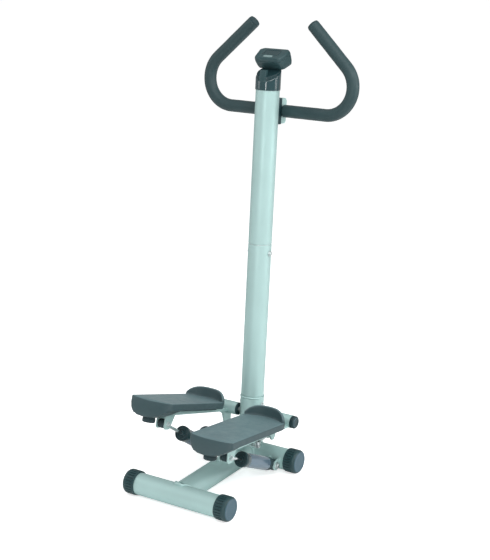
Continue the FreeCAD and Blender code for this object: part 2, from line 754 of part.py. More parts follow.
def pedal_section(owner, along, half, shoulder, keel, bottom):
    """Cross-section of the pedal: flat top, short sides, then a belly that narrows to a keel."""
    return outline(
        sketch(owner, "XZ", along),
        (f"-({half})", "pedal_top"),
        (half, "pedal_top"),
        (half, shoulder),
        (f"pedal_keel + {keel}", bottom),
        (f"pedal_keel - {keel}", bottom),
        (f"-({half})", shoulder),
    )


def pedal(name, side):
    """Moulded pedal: a lofted platform, deepest at the near end, and a curved toe wall at the column end."""
    slab = body(f"pedal_slab_{name}")
    sections = (
        ("62", "44", "4", "32", "3"),
        ("95", "pedal_half + 0.5", "-1", "44", "-8.5"),
        ("230", "pedal_half", "-6", "42", "-15"),
        ("300", "pedal_half - 0.5", "-5", "28", "-31"),
        ("pedal_near - 6", "pedal_half - 1", "-4", "26", "-31"),
        ("pedal_near + 3", "pedal_half - 3.5", "-1", "27", "-17"),
    )
    loft(slab, [pedal_section(slab, *section) for section in sections])
    shift = f"{side} * (arm_x - pedal_x)"
    room = rectangle(sketch(slab, "XY", "arm_top"), f"{shift} - arm_half - 1", f"{shift} + arm_half + 1",
                     "-eye_along - 20", "0")
    pocket(room, "100", both_ways=False)
    for near, far in (("-170", "-100"), ("-222", "-178")):
        hollow = rectangle(sketch(slab, "XY", "pedal_top - 5"), "-42", "42", near, far)
        pocket(hollow, "100", both_ways=False)
    for along in ("-85", "-228"):
        for across in ("-16", "16"):
            hole = circle(sketch(slab, "XY"), "3 + fit_gap", x=f"{shift} + ({across})", y=along)
            pocket(hole, "20")
    ring = body(f"toe_ring_{name}")
    disc(ring, "XY", "95", "pedal_top - 3", "60", y="-155", bore="87")
    arch = body(f"toe_arch_{name}")
    pad(outline(
        sketch(arch, "XZ", "50"),
        ("-pedal_half + 0.5", "0"),
        ("-pedal_half + 0.5", "pedal_top + 5"),
        ("-pedal_half + 6.5", "pedal_top + 17.5"),
        ("-pedal_half + 21", "pedal_top + 25"),
        ("-15", "pedal_top + 29"),
        ("15", "pedal_top + 29"),
        ("pedal_half - 21", "pedal_top + 25"),
        ("pedal_half - 6.5", "pedal_top + 17.5"),
        ("pedal_half - 0.5", "pedal_top + 5"),
        ("pedal_half - 0.5", "0"),
    ), "70")
    wall = boolean("Common", f"toe_wall_{name}", ring, arch)
    return place(boolean("Fuse", f"pedal_{name}", slab, wall), f"{name}_arm", x=f"{side} * pedal_x")


def bumper(name, side):
    """Rubber foot under the near end of the pedal."""
    foot = body(f"bumper_{name}")
    disc(foot, "XY", "17.5", "-45", "13.95")
    return place(foot, f"{name}_arm", x=f"{side} * pedal_x + pedal_keel", y="-pedal_near + 24")


def pedal_screws(name, side):
    screws = []
    for along in ("-85", "-228"):
        for across in ("-16", "16"):
            screw = fastener(f"pedal_screw_{name}", "XY", "arm_top - arm_wall", "15", "3", "5.5", "3.5")
            screws.append(place(screw, f"{name}_arm", x=f"{side} * arm_x + ({across})", y=along))
    return group(f"pedal_screws_{name}", screws)


def eye_bolt(name, side):
    bolt = fastener(f"damper_eye_bolt_{name}", "YZ", "-14.8", "29.6", "4", "7.5", "4.5", nut="5.5")
    return place(bolt, f"{name}_arm", x=f"{side} * arm_x", y="-eye_along", z="-eye_drop")


# ---- dampers ---------------------------------------------------------------------------------------------------

def damper_cylinder(name, side):
    """Closed cylinder with an eye at its foot. It lies along -Y of its frame."""
    cylinder = body(f"damper_cylinder_{name}")
    drawn = outline(
        sketch(cylinder, "XY"),
        ("0", "-5"),
        ("12", "-5"),
        ("12.5", "-18"),
        ("damper_radius", "-20"),
        ("damper_radius", "-(damper_length - 15)"),
        ("damper_bore", "-(damper_length - 15)"),
        ("damper_bore", "-28"),
        ("0", "-28"),
    )
    revolve(drawn, "Y")
    pad(circle(sketch(cylinder, "YZ"), "15.5"), "25", both_ways=True)
    pocket(circle(sketch(cylinder, "YZ"), "5 + run_gap"), "60")
    return place(cylinder, f"{name}_damper", x=f"{side} * arm_x")


def damper_head(name, side):
    """Black ring that closes the cylinder and guides the rod."""
    head = body(f"damper_head_{name}")
    drawn = outline(
        sketch(head, "XY"),
        ("damper_radius + fit_gap", "-(damper_length - 25)"),
        ("head_radius - 1", "-(damper_length - 25)"),
        ("head_radius - 1", "-(damper_length - 10)"),
        ("head_radius", "-(damper_length - 9)"),
        ("head_radius", "-(damper_length - 4)"),
        ("head_radius - 4", "-damper_length"),
        ("rod_radius + run_gap", "-damper_length"),
        ("rod_radius + run_gap", "-(damper_length - 14.9)"),
        ("damper_radius + fit_gap", "-(damper_length - 14.9)"),
    )
    revolve(drawn, "Y")
    return place(head, f"{name}_damper", x=f"{side} * arm_x")


def damper_rod(name, side):
    """Piston rod: an eye ring at the arm's end, the piston at the other."""
    rod = body(f"damper_rod_{name}")
    span = f"{name}_damper_span"
    drawn = outline(
        sketch(rod, "XY"),
        ("0", f"-({span} - eye_radius + 1)"),
        ("rod_radius", f"-({span} - eye_radius + 1)"),
        ("rod_radius", f"-({span} - rod_length + 14)"),
        ("damper_bore - run_gap", f"-({span} - rod_length + 14)"),
        ("damper_bore - run_gap", f"-({span} - rod_length)"),
        ("0", f"-({span} - rod_length)"),
    )
    revolve(drawn, "Y")
    pad(circle(sketch(rod, "YZ"), "eye_radius", x=f"-{span}"), "18", both_ways=True)
    pocket(circle(sketch(rod, "YZ"), "eye_radius - 2", x=f"-{span}"), "60")
    return place(rod, f"{name}_damper", x=f"{side} * arm_x")


def eye_bush(name, side):
    """Rubber bush in the rod's eye, loose on the clevis bolt."""
    bush = body(f"damper_eye_bush_{name}")
    ring = circle(sketch(bush, "YZ"), "eye_radius - 2 - fit_gap")
    circle(ring, "6.6")
    pad(ring, "21", both_ways=True)
    return place(bush, f"{name}_damper", x=f"{side} * arm_x", y=f"-{name}_damper_span")


# ---- equaliser -------------------------------------------------------------------------------------------------

ROCKER_Y = "rear_y + base_span - rocker_back"


def equaliser_bracket():
    """Block welded on the main beam for the equaliser's bolt."""
    post = body("equaliser_bracket")
    low = "base_height + beam_radius - 14"
    pad(rectangle(sketch(post, "XY", low), "-14", "14", "-15", "15"), f"rocker_z - 0.1 - ({low})")
    pocket(circle(sketch(post, "XZ"), "beam_radius + fit_gap", y="base_height"), "200")
    pocket(circle(sketch(post, "XY"), "5 + fit_gap"), "600")
    return place(post, "floor", y=ROCKER_Y)


def equaliser_bolt():
    bolt = body("equaliser_bolt")
    low = "base_height + beam_radius + 1"
    disc(bolt, "XY", "5", low, f"rocker_z + 6.2 - ({low})")
    disc(bolt, "XY", "9", "rocker_z + 6.2", "6")
    return place(bolt, "floor", y=ROCKER_Y)


def equaliser_bar():
    """Flat bar that turns on its bolt, with an upright pin for a link rod at each end."""
    bar = body("equaliser_bar")
    pad(rectangle(sketch(bar, "XY"), "-rocker_half", "rocker_half", "-11", "11"), "6")
    for end in ("-rocker_half", "rocker_half"):
        disc(bar, "XY", "11", "0", "6", x=end)
        disc(bar, "XY", "4", "0", "22", x=end)
    pocket(circle(sketch(bar, "XY"), "5 + run_gap"), "60")
    bar.Placement = FreeCAD.Placement(FreeCAD.Vector(), FreeCAD.Rotation(FreeCAD.Vector(0, 0, 1), 1))
    bind(bar, "Placement.Base.y", ROCKER_Y)
    bind(bar, "Placement.Base.z", "rocker_z")
    bind(bar, "Placement.Rotation.Angle", "rocker_turn")
    return bar


def link_rod(name, side):
    """Rod from the lug's pin to the equaliser's pin, with a flat ring that is loose on the upright pin."""
    rod = body(f"link_rod_{name}")
    disc(rod, "YZ", "9", "-5", "10")
    pad(circle(sketch(rod, "XZ"), "4"), "rocker_back - 10")
    disc(rod, "XY", "12", "-4.5", "9", y="-rocker_back")
    pocket(circle(sketch(rod, "XY"), "7.5", y="-rocker_back"), "60")
    pocket(circle(sketch(rod, "YZ"), "4 + run_gap"), "60")
    lug = f"lug_radius * sin({name}_rest - mean_rest)"
    drop = f"lug_radius * cos({name}_rest - mean_rest)"
    return place(rod, "floor", x=f"{side} * link_x", y=f"rear_y + base_span - {lug}", z=f"axle_height - {drop}")


# ---- the whole machine -----------------------------------------------------------------------------------------

def build():
    high_bolt = ("YZ", "joint_bolt_radius + fit_gap", "column_seam - joint_bolt_drop")
    clamp_holes = [("XZ", "4 + fit_gap", f"bar_along + ({height})") for height in ("-21", "21")]
    pieces = [
        stabilizer("rear_stabilizer_tube", "rear_y"),
        stabilizer("front_stabilizer_tube", "rear_y + base_span"),
        main_beam(),
        end_caps("rear_end_caps", "rear_y"),
        end_caps("front_end_caps", "rear_y + base_span"),
        damper_brackets(),
        damper_foot_bolts(),
        column_stub(),
        column_tube("column_lower_tube", "stub_top", "column_seam", [high_bolt]),
        column_tube("column_upper_tube", "column_seam", "column_end", clamp_holes),
        column_sleeves(),
        column_joint_bolts(),
        column_cap(),
        handlebar_tube(),
        *grips(),
        bar_end_plugs(),
        *handlebar_mount(),
        counter_upper_housing(),
        counter_lower_housing(),
        *counter_inside(),
        counter_neck(),
        axle(),
        axle_end_nuts(),
        equaliser_bracket(),
        equaliser_bolt(),
        equaliser_bar(),
    ]
    for name, side in SIDES:
        for make in (hub_tube, hub_bushes, pedal_arm, pedal, bumper, pedal_screws, eye_bolt,
                     damper_cylinder, damper_head, damper_rod, eye_bush, link_rod):
            pieces.append(make(name, side))
    return pieces


def check(pieces):
    """Stops the build on a failed feature, an empty cut or a broken solid."""
    problems = []
    for item in doc.Objects:
        if "Invalid" in item.State or "Error" in item.State:
            problems.append(f"{item.Name} ({item.Label}) is {item.State}")
        if item.TypeId == "PartDesign::Pocket" and item.Shape.Volume > item.BaseFeature.Shape.Volume - 0.1:
            problems.append(f"{item.Name} cuts nothing")
    for piece in pieces:
        if piece.Shape.isNull() or not piece.Shape.isValid() or not piece.Shape.Solids:
            problems.append(f"{piece.Label} has no valid solid")
    if problems:
        raise SystemExit("\n".join(problems))


fill_sheet()
PIECES = build()
doc.recompute()
check(PIECES)
os.makedirs("parts", exist_ok=True)
for piece in PIECES:
    piece.Shape.exportStep(f"parts/{piece.Label}.step")
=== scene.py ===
"""The stepper's look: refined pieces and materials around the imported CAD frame.

The frame is in metres, with +X to the user's right, +Y the way the user faces and +Z up.
Piece sizes in this script are millimetres, turned into metres by the matrix that places the piece.
"""

import json
import math

import bmesh
import bpy
from mathutils import Matrix, Vector, noise

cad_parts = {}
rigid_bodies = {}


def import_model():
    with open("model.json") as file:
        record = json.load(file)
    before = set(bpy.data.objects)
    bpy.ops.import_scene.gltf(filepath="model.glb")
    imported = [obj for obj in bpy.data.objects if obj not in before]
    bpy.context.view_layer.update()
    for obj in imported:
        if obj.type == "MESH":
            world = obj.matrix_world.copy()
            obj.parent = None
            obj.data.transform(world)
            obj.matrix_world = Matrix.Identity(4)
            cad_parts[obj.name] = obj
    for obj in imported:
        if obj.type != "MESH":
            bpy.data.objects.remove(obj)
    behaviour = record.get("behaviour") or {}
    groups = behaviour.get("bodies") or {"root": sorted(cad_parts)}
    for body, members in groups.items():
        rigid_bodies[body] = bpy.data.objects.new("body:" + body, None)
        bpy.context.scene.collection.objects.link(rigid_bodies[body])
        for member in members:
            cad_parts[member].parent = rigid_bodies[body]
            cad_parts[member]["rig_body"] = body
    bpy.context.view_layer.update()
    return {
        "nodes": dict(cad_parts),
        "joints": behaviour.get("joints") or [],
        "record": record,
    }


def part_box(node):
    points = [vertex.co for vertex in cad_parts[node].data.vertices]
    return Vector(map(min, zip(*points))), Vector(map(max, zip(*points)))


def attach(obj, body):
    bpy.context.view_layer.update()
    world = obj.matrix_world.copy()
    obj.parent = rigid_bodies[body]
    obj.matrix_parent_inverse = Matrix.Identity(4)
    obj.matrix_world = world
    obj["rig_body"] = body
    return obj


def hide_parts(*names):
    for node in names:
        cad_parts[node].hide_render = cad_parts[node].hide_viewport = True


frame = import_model()

JOINTS = {joint["name"]: joint for joint in frame["joints"]}
SLOTS = {row["node"]: row["material_slot"] for row in frame["record"]["subparts"]}
MM = 0.001
SIDES = (("left", -1), ("right", 1))


# ---- places in the frame ----

def middle(node):
    """Middle of a CAD node's box, in metres."""
    low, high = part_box(node)
    return (low + high) / 2


def local(origin, tilt):
    """Matrix from a frame's millimetres to the machine's metres. The frame is turned about -X by tilt."""
    return Matrix.Translation(origin) @ Matrix.Rotation(-tilt, 4, "X") @ Matrix.Scale(MM, 4)


PIVOT = Vector(JOINTS["treadle_left"]["pos_m"])
ARM_X = 101
PEDAL_X = 99.5
EYE_ALONG = 269.3
EYE_DROP = 48
LEAN = math.radians(5)
BAR_LEAN = math.radians(6.8)

# along the column, from the front tube's axis
SEAM_LOW = 163.5
SEAM_HIGH = 595.0
COLUMN_TOP = 1034.0
CAP_BASE = 1010
BAR_UP = 953
BAR_OUT = 56

BUTTON_AXIS = JOINTS["counter_button_press"]["axis"]
COUNTER_TILT = -math.atan2(BUTTON_AXIS[1], -BUTTON_AXIS[2])


def arm_tilt(name):
    """An arm's rest angle, from where its damper bolt is."""
    to_eye = middle(f"damper_eye_bolt_{name}") - PIVOT
    return math.atan2(to_eye.z, -to_eye.y) + math.atan2(EYE_DROP, EYE_ALONG)


def arm(name):
    """A treadle arm's frame: the axle, with -Y along the arm towards the user."""
    return local(PIVOT, arm_tilt(name))


def damper(name):
    """A damper's frame: its lower bolt, with -Y along the rod."""
    axis = JOINTS[f"rod_{name}"]["axis"]
    return local(Vector(JOINTS[f"damper_{name}"]["pos_m"]), math.atan2(axis[2], -axis[1]))


WHOLE = Matrix.Scale(MM, 4)
COLUMN = local(middle("front_stabilizer_tube"), LEAN)
BAR = local(COLUMN @ Vector((0, BAR_OUT, BAR_UP)), BAR_LEAN)
WINDOW_OFFSET = Matrix.Rotation(-COUNTER_TILT, 3, "X") @ Vector((0, 4, -1)) * MM
COUNTER = local(middle("counter_window") - WINDOW_OFFSET, COUNTER_TILT)


# ---- meshes ----

def smooth_step(value, low, high):
    """0 below low, 1 above high, and a smooth rise between them."""
    t = max(0.0, min(1.0, (value - low) / (high - low)))
    return t * t * (3 - 2 * t)


def around(steps):
    """Evenly spaced angles round a full turn."""
    return [2 * math.pi * k / steps for k in range(steps)]


def half_chord(radius, offset):
    """Half of a circle's chord, at an offset from its centre."""
    return math.sqrt(max(0.0, radius ** 2 - offset ** 2))


def soften(points, radius, steps=4):
    """A closed outline with its corners rounded. A radius may be given for each corner."""
    count = len(points)
    radii = radius if isinstance(radius, (list, tuple)) else [radius] * count
    out = []
    for i, point in enumerate(points):
        here = Vector(point)
        if radii[i] == 0:
            out.append(here)
            continue
        before = Vector(points[i - 1]) - here
        after = Vector(points[(i + 1) % count]) - here
        cut = min(radii[i], 0.48 * before.length, 0.48 * after.length)
        start = here + before.normalized() * cut
        end = here + after.normalized() * cut
        for k in range(steps + 1):
            t = k / steps
            out.append(start * (1 - t) ** 2 + here * 2 * t * (1 - t) + end * t ** 2)
    return out


def to_mesh(bm):
    """The finished mesh of a bmesh, which is freed."""
    mesh = bpy.data.meshes.new("shape")
    bm.to_mesh(mesh)
    bm.free()
    return mesh


def cleaned(bm):
    """A mesh with its doubled points merged and its faces turned outwards."""
    bmesh.ops.remove_doubles(bm, verts=bm.verts, dist=1e-6)
    bmesh.ops.dissolve_degenerate(bm, edges=bm.edges, dist=1e-7)
    bmesh.ops.recalc_face_normals(bm, faces=bm.faces)
    return to_mesh(bm)


def skin(rings, matrix, caps=True):
    """A mesh through rings that all have the same number of points, closed at both ends if capped."""
    bm = bmesh.new()
    rows = [[bm.verts.new(matrix @ Vector(p)) for p in ring] for ring in rings]
    count = len(rings[0])
    for low, high in zip(rows, rows[1:]):
        for i in range(count):
            j = (i + 1) % count
            bm.faces.new((low[i], low[j], high[j], high[i]))
    if caps:
        bm.faces.new(list(reversed(rows[0])))
        bm.faces.new(rows[-1])
    return cleaned(bm)


def joined(meshes):
    """Several meshes as one."""
    bm = bmesh.new()
    for mesh in meshes:
        bm.from_mesh(mesh)
    return to_mesh(bm)


def lathe(profile, matrix, segments):
    """A closed solid of revolution about the matrix's Z. The profile's points are (radius, along)."""
    bm = bmesh.new()
    rows = []
    for a in around(segments):
        ring = [(max(r, 1e-4) * math.cos(a), max(r, 1e-4) * math.sin(a), z) for r, z in profile]
        rows.append([bm.verts.new(matrix @ Vector(p)) for p in ring])
    count = len(profile)
    for k in range(segments):
        now = rows[k]
        then = rows[(k + 1) % segments]
        for i in range(count):
            j = (i + 1) % count
            if profile[i][0] < 1e-6 and profile[j][0] < 1e-6:
                continue
            bm.faces.new((now[i], now[j], then[j], then[i]))
    return cleaned(bm)


def turned(profile, radii, matrix, segments=56):
    """A solid of revolution whose outline has its corners rounded."""
    return lathe(soften(profile, radii), matrix, segments)


BEAD_SIDES = 10
BEAD_RIPPLE = 0.10
BEAD_PITCH = 3.2


def bead(path, radius, matrix, closed):
    """A rippled weld bead along a path."""
    points = [Vector(p) for p in path]
    count = len(points)
    rings = []
    travelled = 0
    for i, point in enumerate(points):
        ahead = points[(i + 1) % count] if closed or i < count - 1 else point
        behind = points[i - 1] if closed or i > 0 else point
        along = (ahead - behind).normalized()
        if i:
            travelled += (point - points[i - 1]).length
            side = (side - along * side.dot(along)).normalized()
        else:
            side = along.orthogonal().normalized()
        up = along.cross(side)
        r = radius * (1 + BEAD_RIPPLE * math.sin(2 * math.pi * travelled / BEAD_PITCH))
        rings.append([point + side * r * math.cos(a) + up * r * math.sin(a) for a in around(BEAD_SIDES)])
    if closed:
        rings.append(rings[0])
    return skin(rings, matrix, caps=not closed)


def turned_x(x, y=0.0, z=0.0, flip=False):
    """A lathe axis along +X, or -X if flipped, from a point."""
    return Matrix.Translation((x, y, z)) @ Matrix.Rotation(math.radians(-90 if flip else 90), 4, "Y")


def turned_y(x, y, z):
    """A lathe axis along -Y from a point."""
    return Matrix.Translation((x, y, z)) @ Matrix.Rotation(math.radians(90), 4, "X")


def piece(name, mesh, material, body, slot, *nodes, sharp=32):
    """A finished piece that rides on a body and stands for CAD nodes."""
    obj = bpy.data.objects.new(name, mesh)
    bpy.context.scene.collection.objects.link(obj)
    mesh.name = name
    mesh.shade_smooth()
    mesh.set_sharp_from_angle(angle=math.radians(sharp))
    mesh.materials.clear()
    mesh.materials.append(material)
    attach(obj, body)
    if nodes:
        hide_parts(*nodes)
    return obj


def rounded_edges(obj, width, segments, angle):
    """Rounds the edges where faces meet at more than the angle, in degrees."""
    bevel = obj.modifiers.new("edges", "BEVEL")
    bevel.width = width * MM
    bevel.segments = segments
    bevel.limit_method = "ANGLE"
    bevel.angle_limit = math.radians(angle)
    return bevel


def refined(node, width, material):
    """The CAD node's own shape with its edges rounded, as a piece that stands for it."""
    source = frame["nodes"][node]
    bm = bmesh.new()
    bm.from_mesh(source.data)
    bmesh.ops.remove_doubles(bm, verts=bm.verts, dist=2e-6)
    bmesh.ops.dissolve_limit(bm, angle_limit=math.radians(0.6), verts=bm.verts, edges=bm.edges)
    body = source["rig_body"]
    obj = piece(f"{node}_finished", to_mesh(bm), material, body, SLOTS[node], node)
    bevel = rounded_edges(obj, width, 3, 38)
    bevel.use_clamp_overlap = True
    bevel.harden_normals = True


# ---- materials ----

def shade(colour, factor):
    """A darker or lighter tone of a colour."""
    return tuple(min(1, c * factor) for c in colour)


class Surface:
    """A procedural material: base colour with variation, grain, roughness changes and worn edges."""

    def __init__(self, name, colour, rough, metal=0.0, coat=0.0, sheen=0.0, shine=0.5):
        self.material = bpy.data.materials.new(name)
        self.material.use_nodes = True
        self.tree = self.material.node_tree
        self.shader = self.tree.nodes["Principled BSDF"]
        self.shader.inputs["Metallic"].default_value = metal
        self.shader.inputs["Coat Weight"].default_value = coat
        self.shader.inputs["Coat Roughness"].default_value = 0.08
        self.shader.inputs["Sheen Weight"].default_value = sheen
        self.shader.inputs["Specular IOR Level"].default_value = shine
        self.place = self.tree.nodes.new("ShaderNodeTexCoord").outputs["Object"]
        self.colour = self.rgb(colour)
        self.rough = self.value(rough)
        self.bump = None

    def rgb(self, colour):
        node = self.tree.nodes.new("ShaderNodeRGB")
        node.outputs[0].default_value = (*colour, 1)
        return node.outputs[0]

    def value(self, number):
        node = self.tree.nodes.new("ShaderNodeValue")
        node.outputs[0].default_value = number
        return node.outputs[0]

    def noise(self, scale, detail=3.0, stretch=None):
        node = self.tree.nodes.new("ShaderNodeTexNoise")
        node.inputs["Scale"].default_value = scale
        node.inputs["Detail"].default_value = detail
        source = self.place
        if stretch:
            mapping = self.tree.nodes.new("ShaderNodeMapping")
            mapping.inputs["Scale"].default_value = stretch
            self.tree.links.new(source, mapping.inputs["Vector"])
            source = mapping.outputs["Vector"]
        self.tree.links.new(source, node.inputs["Vector"])
        return node.outputs["Fac"]

    def cells(self, scale):
        node = self.tree.nodes.new("ShaderNodeTexVoronoi")
        node.inputs["Scale"].default_value = scale
        self.tree.links.new(self.place, node.inputs["Vector"])
        return node.outputs["Distance"]

    def ramp(self, source, low, high, start=0.0, end=1.0):
        """Maps source from low..high to start..end, and holds it there outside."""
        node = self.tree.nodes.new("ShaderNodeMapRange")
        node.inputs["From Min"].default_value = low
        node.inputs["From Max"].default_value = high
        node.inputs["To Min"].default_value = start
        node.inputs["To Max"].default_value = end
        self.tree.links.new(source, node.inputs["Value"])
        return node.outputs["Result"]

    def math(self, kind, first, second):
        node = self.tree.nodes.new("ShaderNodeMath")
        node.operation = kind
        for socket, item in zip(node.inputs, (first, second)):
            if isinstance(item, (int, float)):
                socket.default_value = item
            else:
                self.tree.links.new(item, socket)
        return node.outputs[0]

    def tint(self, share, colour):
        """Moves the colour towards another one by a share that may vary over the surface."""
        node = self.tree.nodes.new("ShaderNodeMix")
        node.data_type = "RGBA"
        self.tree.links.new(share, node.inputs["Factor"])
        self.tree.links.new(self.colour, node.inputs["A"])
        node.inputs["B"].default_value = (*colour, 1)
        self.colour = node.outputs["Result"]
        return self

    def roughen(self, share):
        self.rough = self.math("ADD", self.rough, share)
        return self

    def grain(self, height, distance):
        """Bump from a height that varies over the surface; distance is in millimetres."""
        node = self.tree.nodes.new("ShaderNodeBump")
        node.inputs["Distance"].default_value = distance * MM
        node.inputs["Strength"].default_value = 1.0
        self.tree.links.new(height, node.inputs["Height"])
        if self.bump:
            self.tree.links.new(self.bump, node.inputs["Normal"])
        self.bump = node.outputs["Normal"]
        return self

    def edges(self, radius):
        """1 along sharp edges and 0 on flat faces."""
        bevel = self.tree.nodes.new("ShaderNodeBevel")
        bevel.samples = 4
        bevel.inputs["Radius"].default_value = radius * MM
        flat = self.tree.nodes.new("ShaderNodeNewGeometry").outputs["Normal"]
        dot = self.tree.nodes.new("ShaderNodeVectorMath")
        dot.operation = "DOT_PRODUCT"
        self.tree.links.new(bevel.outputs["Normal"], dot.inputs[0])
        self.tree.links.new(flat, dot.inputs[1])
        return self.ramp(dot.outputs["Value"], 0.98, 0.80)

    def worn(self, radius, colour, amount, scale=90):
        """Lighter, broken-up wear along edges."""
        patchy = self.ramp(self.noise(scale, 4), 0.42, 0.62)
        share = self.math("MULTIPLY", self.math("MULTIPLY", self.edges(radius), patchy), amount)
        return self.tint(share, colour)

    def upward(self):
        """1 where the surface faces up, 0 where it faces sideways or down."""
        node = self.tree.nodes.new("ShaderNodeSeparateXYZ")
        self.tree.links.new(self.tree.nodes.new("ShaderNodeNewGeometry").outputs["Normal"], node.inputs[0])
        return self.ramp(node.outputs["Z"], 0.55, 0.92)

    def done(self):
        self.tree.links.new(self.colour, self.shader.inputs["Base Color"])
        self.tree.links.new(self.rough, self.shader.inputs["Roughness"])
        if self.bump:
            self.tree.links.new(self.bump, self.shader.inputs["Normal"])
        return self.material


def paint(name, colour, rough, metal, coat, wear):
    """Sprayed metallic paint: faint orange peel, flakes, slow tone changes and rubbed edges."""
    s = Surface(name, colour, rough, metal, coat)
    s.tint(s.ramp(s.noise(7, 2), 0.35, 0.7, 0, 0.5), shade(colour, 0.86))
    s.tint(s.ramp(s.noise(2600, 1), 0.62, 0.72, 0, 0.22), shade(colour, 1.3))
    s.worn(0.9, wear, 0.5)
    s.roughen(s.ramp(s.noise(24, 4), 0.3, 0.75, -0.04, 0.07))
    s.grain(s.noise(420, 2), 0.035)
    return s.done()


def metal(name, colour, rough, stretch=None):
    """Plated or polished steel with fine drawing marks and small stains."""
    s = Surface(name, colour, rough, 1.0)
    s.tint(s.ramp(s.noise(60, 5), 0.5, 0.75, 0, 0.4), shade(colour, 0.7))
    s.roughen(s.ramp(s.noise(500, 3, stretch), 0.3, 0.7, -0.05, 0.10))
    s.grain(s.noise(900, 2, stretch), 0.02)
    return s.done()


def moulded(name, colour, rough, light, grain=0.05, pebble=1500, coat=0.0, wear=0.5):
    """Moulded plastic with a fine pebbled grain, scuffs and paler edges."""
    s = Surface(name, colour, rough, 0.0, coat, shine=0.35)
    s.tint(s.ramp(s.noise(11, 3), 0.4, 0.75, 0, 0.25), light)
    s.tint(s.ramp(s.noise(160, 6, (1, 1, 0.25)), 0.66, 0.74, 0, 0.25), light)
    s.worn(0.8, shade(light, 1.6), wear)
    s.roughen(s.ramp(s.noise(45, 4), 0.3, 0.7, -0.04, 0.06))
    s.grain(s.cells(pebble), grain)
    return s.done()


def pedal_plastic():
    """Slate plastic, with painted light that makes the tread paler where it faces up, and dust on the tread."""
    s = Surface("pedal_plastic", (0.036, 0.070, 0.078), 0.42, shine=0.4)
    s.tint(s.ramp(s.noise(9, 3), 0.35, 0.75, 0, 0.35), (0.060, 0.100, 0.108))
    # Painted light: upward faces are tinted much paler, standing in for light from above, by a share that
    # varies in broad patches.
    painted_top_light = s.ramp(s.noise(13, 4), 0.3, 0.7, 0.70, 0.95)
    s.tint(s.math("MULTIPLY", s.upward(), painted_top_light), (0.135, 0.215, 0.232))
    dust = s.ramp(s.noise(160, 5), 0.60, 0.74, 0, 0.14)
    s.tint(s.math("MULTIPLY", s.upward(), dust), (0.22, 0.30, 0.31))
    s.worn(1.0, (0.22, 0.29, 0.30), 0.5)
    s.roughen(s.ramp(s.noise(60, 4), 0.3, 0.7, -0.05, 0.10))
    s.grain(s.cells(1300), 0.06)
    s.grain(s.noise(90, 2), 0.05)
    return s.done()


def foam():
    """Closed-cell foam: open pores with painted shade in them, slight waviness and a soft sheen."""
    s = Surface("grip_foam", (0.014, 0.042, 0.047), 0.46, 0.0, 0.0, 0.05, shine=0.45)
    s.tint(s.ramp(s.noise(14, 3), 0.35, 0.75, 0, 0.5), (0.024, 0.060, 0.066))
    # Painted shade in the pores: each cell's centre, where the bump dips, is tinted darker.
    s.tint(s.ramp(s.cells(900), 0.12, 0.02, 0, 0.7), (0.006, 0.014, 0.016))
    s.tint(s.ramp(s.noise(700, 2), 0.6, 0.72, 0, 0.30), (0.045, 0.080, 0.086))
    s.roughen(s.ramp(s.noise(30, 3), 0.3, 0.7, -0.05, 0.10))
    s.grain(s.cells(900), 0.22)
    s.grain(s.noise(120, 3), 0.15)
    return s.done()


def rubber(name, colour):
    """Matt rubber, greyed in patches and along its edges."""
    s = Surface(name, colour, 0.72, 0.0, 0.0, 0.05)
    s.tint(s.ramp(s.noise(25, 4), 0.4, 0.7, 0, 0.5), shade(colour, 1.9))
    s.worn(0.7, shade(colour, 4), 0.4)
    s.grain(s.noise(600, 3), 0.06)
    return s.done()


def window_plastic():
    """Smoked window: nearly black, glossy, with faint wipe marks."""
    s = Surface("window_plastic", (0.012, 0.042, 0.048), 0.22, 0.0, 0.15, shine=0.3)
    s.tint(s.ramp(s.noise(40, 3), 0.4, 0.7, 0, 0.3), (0.024, 0.052, 0.056))
    s.roughen(s.ramp(s.noise(300, 5), 0.45, 0.75, 0, 0.10))
    s.grain(s.noise(300, 4), 0.01)
    return s.done()


def plain(name, colour, rough, second, scale, metal=0.0):
    """Parts inside the counter: two tones and a light grain."""
    s = Surface(name, colour, rough, metal)
    s.tint(s.ramp(s.noise(scale, 4), 0.4, 0.7, 0, 0.6), second)
    s.grain(s.noise(scale * 6, 2), 0.02)
    return s.done()


STEEL_PAINT = paint("frame_paint", (0.425, 0.610, 0.595), 0.46, 0.35, 0.06, (0.72, 0.80, 0.79))
DAMPER_PAINT = paint("damper_paint", (0.120, 0.190, 0.250), 0.24, 0.25, 0.6, (0.45, 0.52, 0.58))
ZINC = metal("zinc", (0.66, 0.72, 0.72), 0.30)
CHROME = metal("chrome_rod", (0.80, 0.84, 0.85), 0.10, (1, 0.05, 1))
CAP_PLASTIC = moulded("cap_plastic", (0.018, 0.052, 0.058), 0.34, (0.050, 0.095, 0.102))
CAP_FACE = moulded("cap_face_plastic", (0.058, 0.115, 0.150), 0.40, (0.095, 0.145, 0.170))
DARK_PLASTIC = moulded("dark_plastic", (0.011, 0.036, 0.042), 0.36, (0.030, 0.062, 0.070))
GLOSS_PLASTIC = moulded("gloss_plastic", (0.014, 0.048, 0.056), 0.14, (0.024, 0.064, 0.074),
                        grain=0.004, pebble=300, coat=0.9, wear=0.2)
COUNTER_PLASTIC = moulded("counter_plastic", (0.026, 0.062, 0.068), 0.34, (0.056, 0.104, 0.110), pebble=1800)
BUTTON_PLASTIC = moulded("button_plastic", (0.19, 0.28, 0.28), 0.35, (0.20, 0.27, 0.27),
                         grain=0.03, pebble=2000)
PEDAL_PLASTIC = pedal_plastic()
FOAM = foam()
RUBBER = rubber("black_rubber", (0.009, 0.028, 0.034))
WINDOW = window_plastic()
LCD = plain("display_film", (0.10, 0.14, 0.13), 0.35, (0.07, 0.10, 0.095), 40)
BOARD = plain("circuit_board", (0.010, 0.090, 0.035), 0.40, (0.020, 0.130, 0.050), 120)
BATTERY = plain("battery_wrap", (0.35, 0.27, 0.08), 0.32, (0.20, 0.16, 0.06), 60, 0.7)

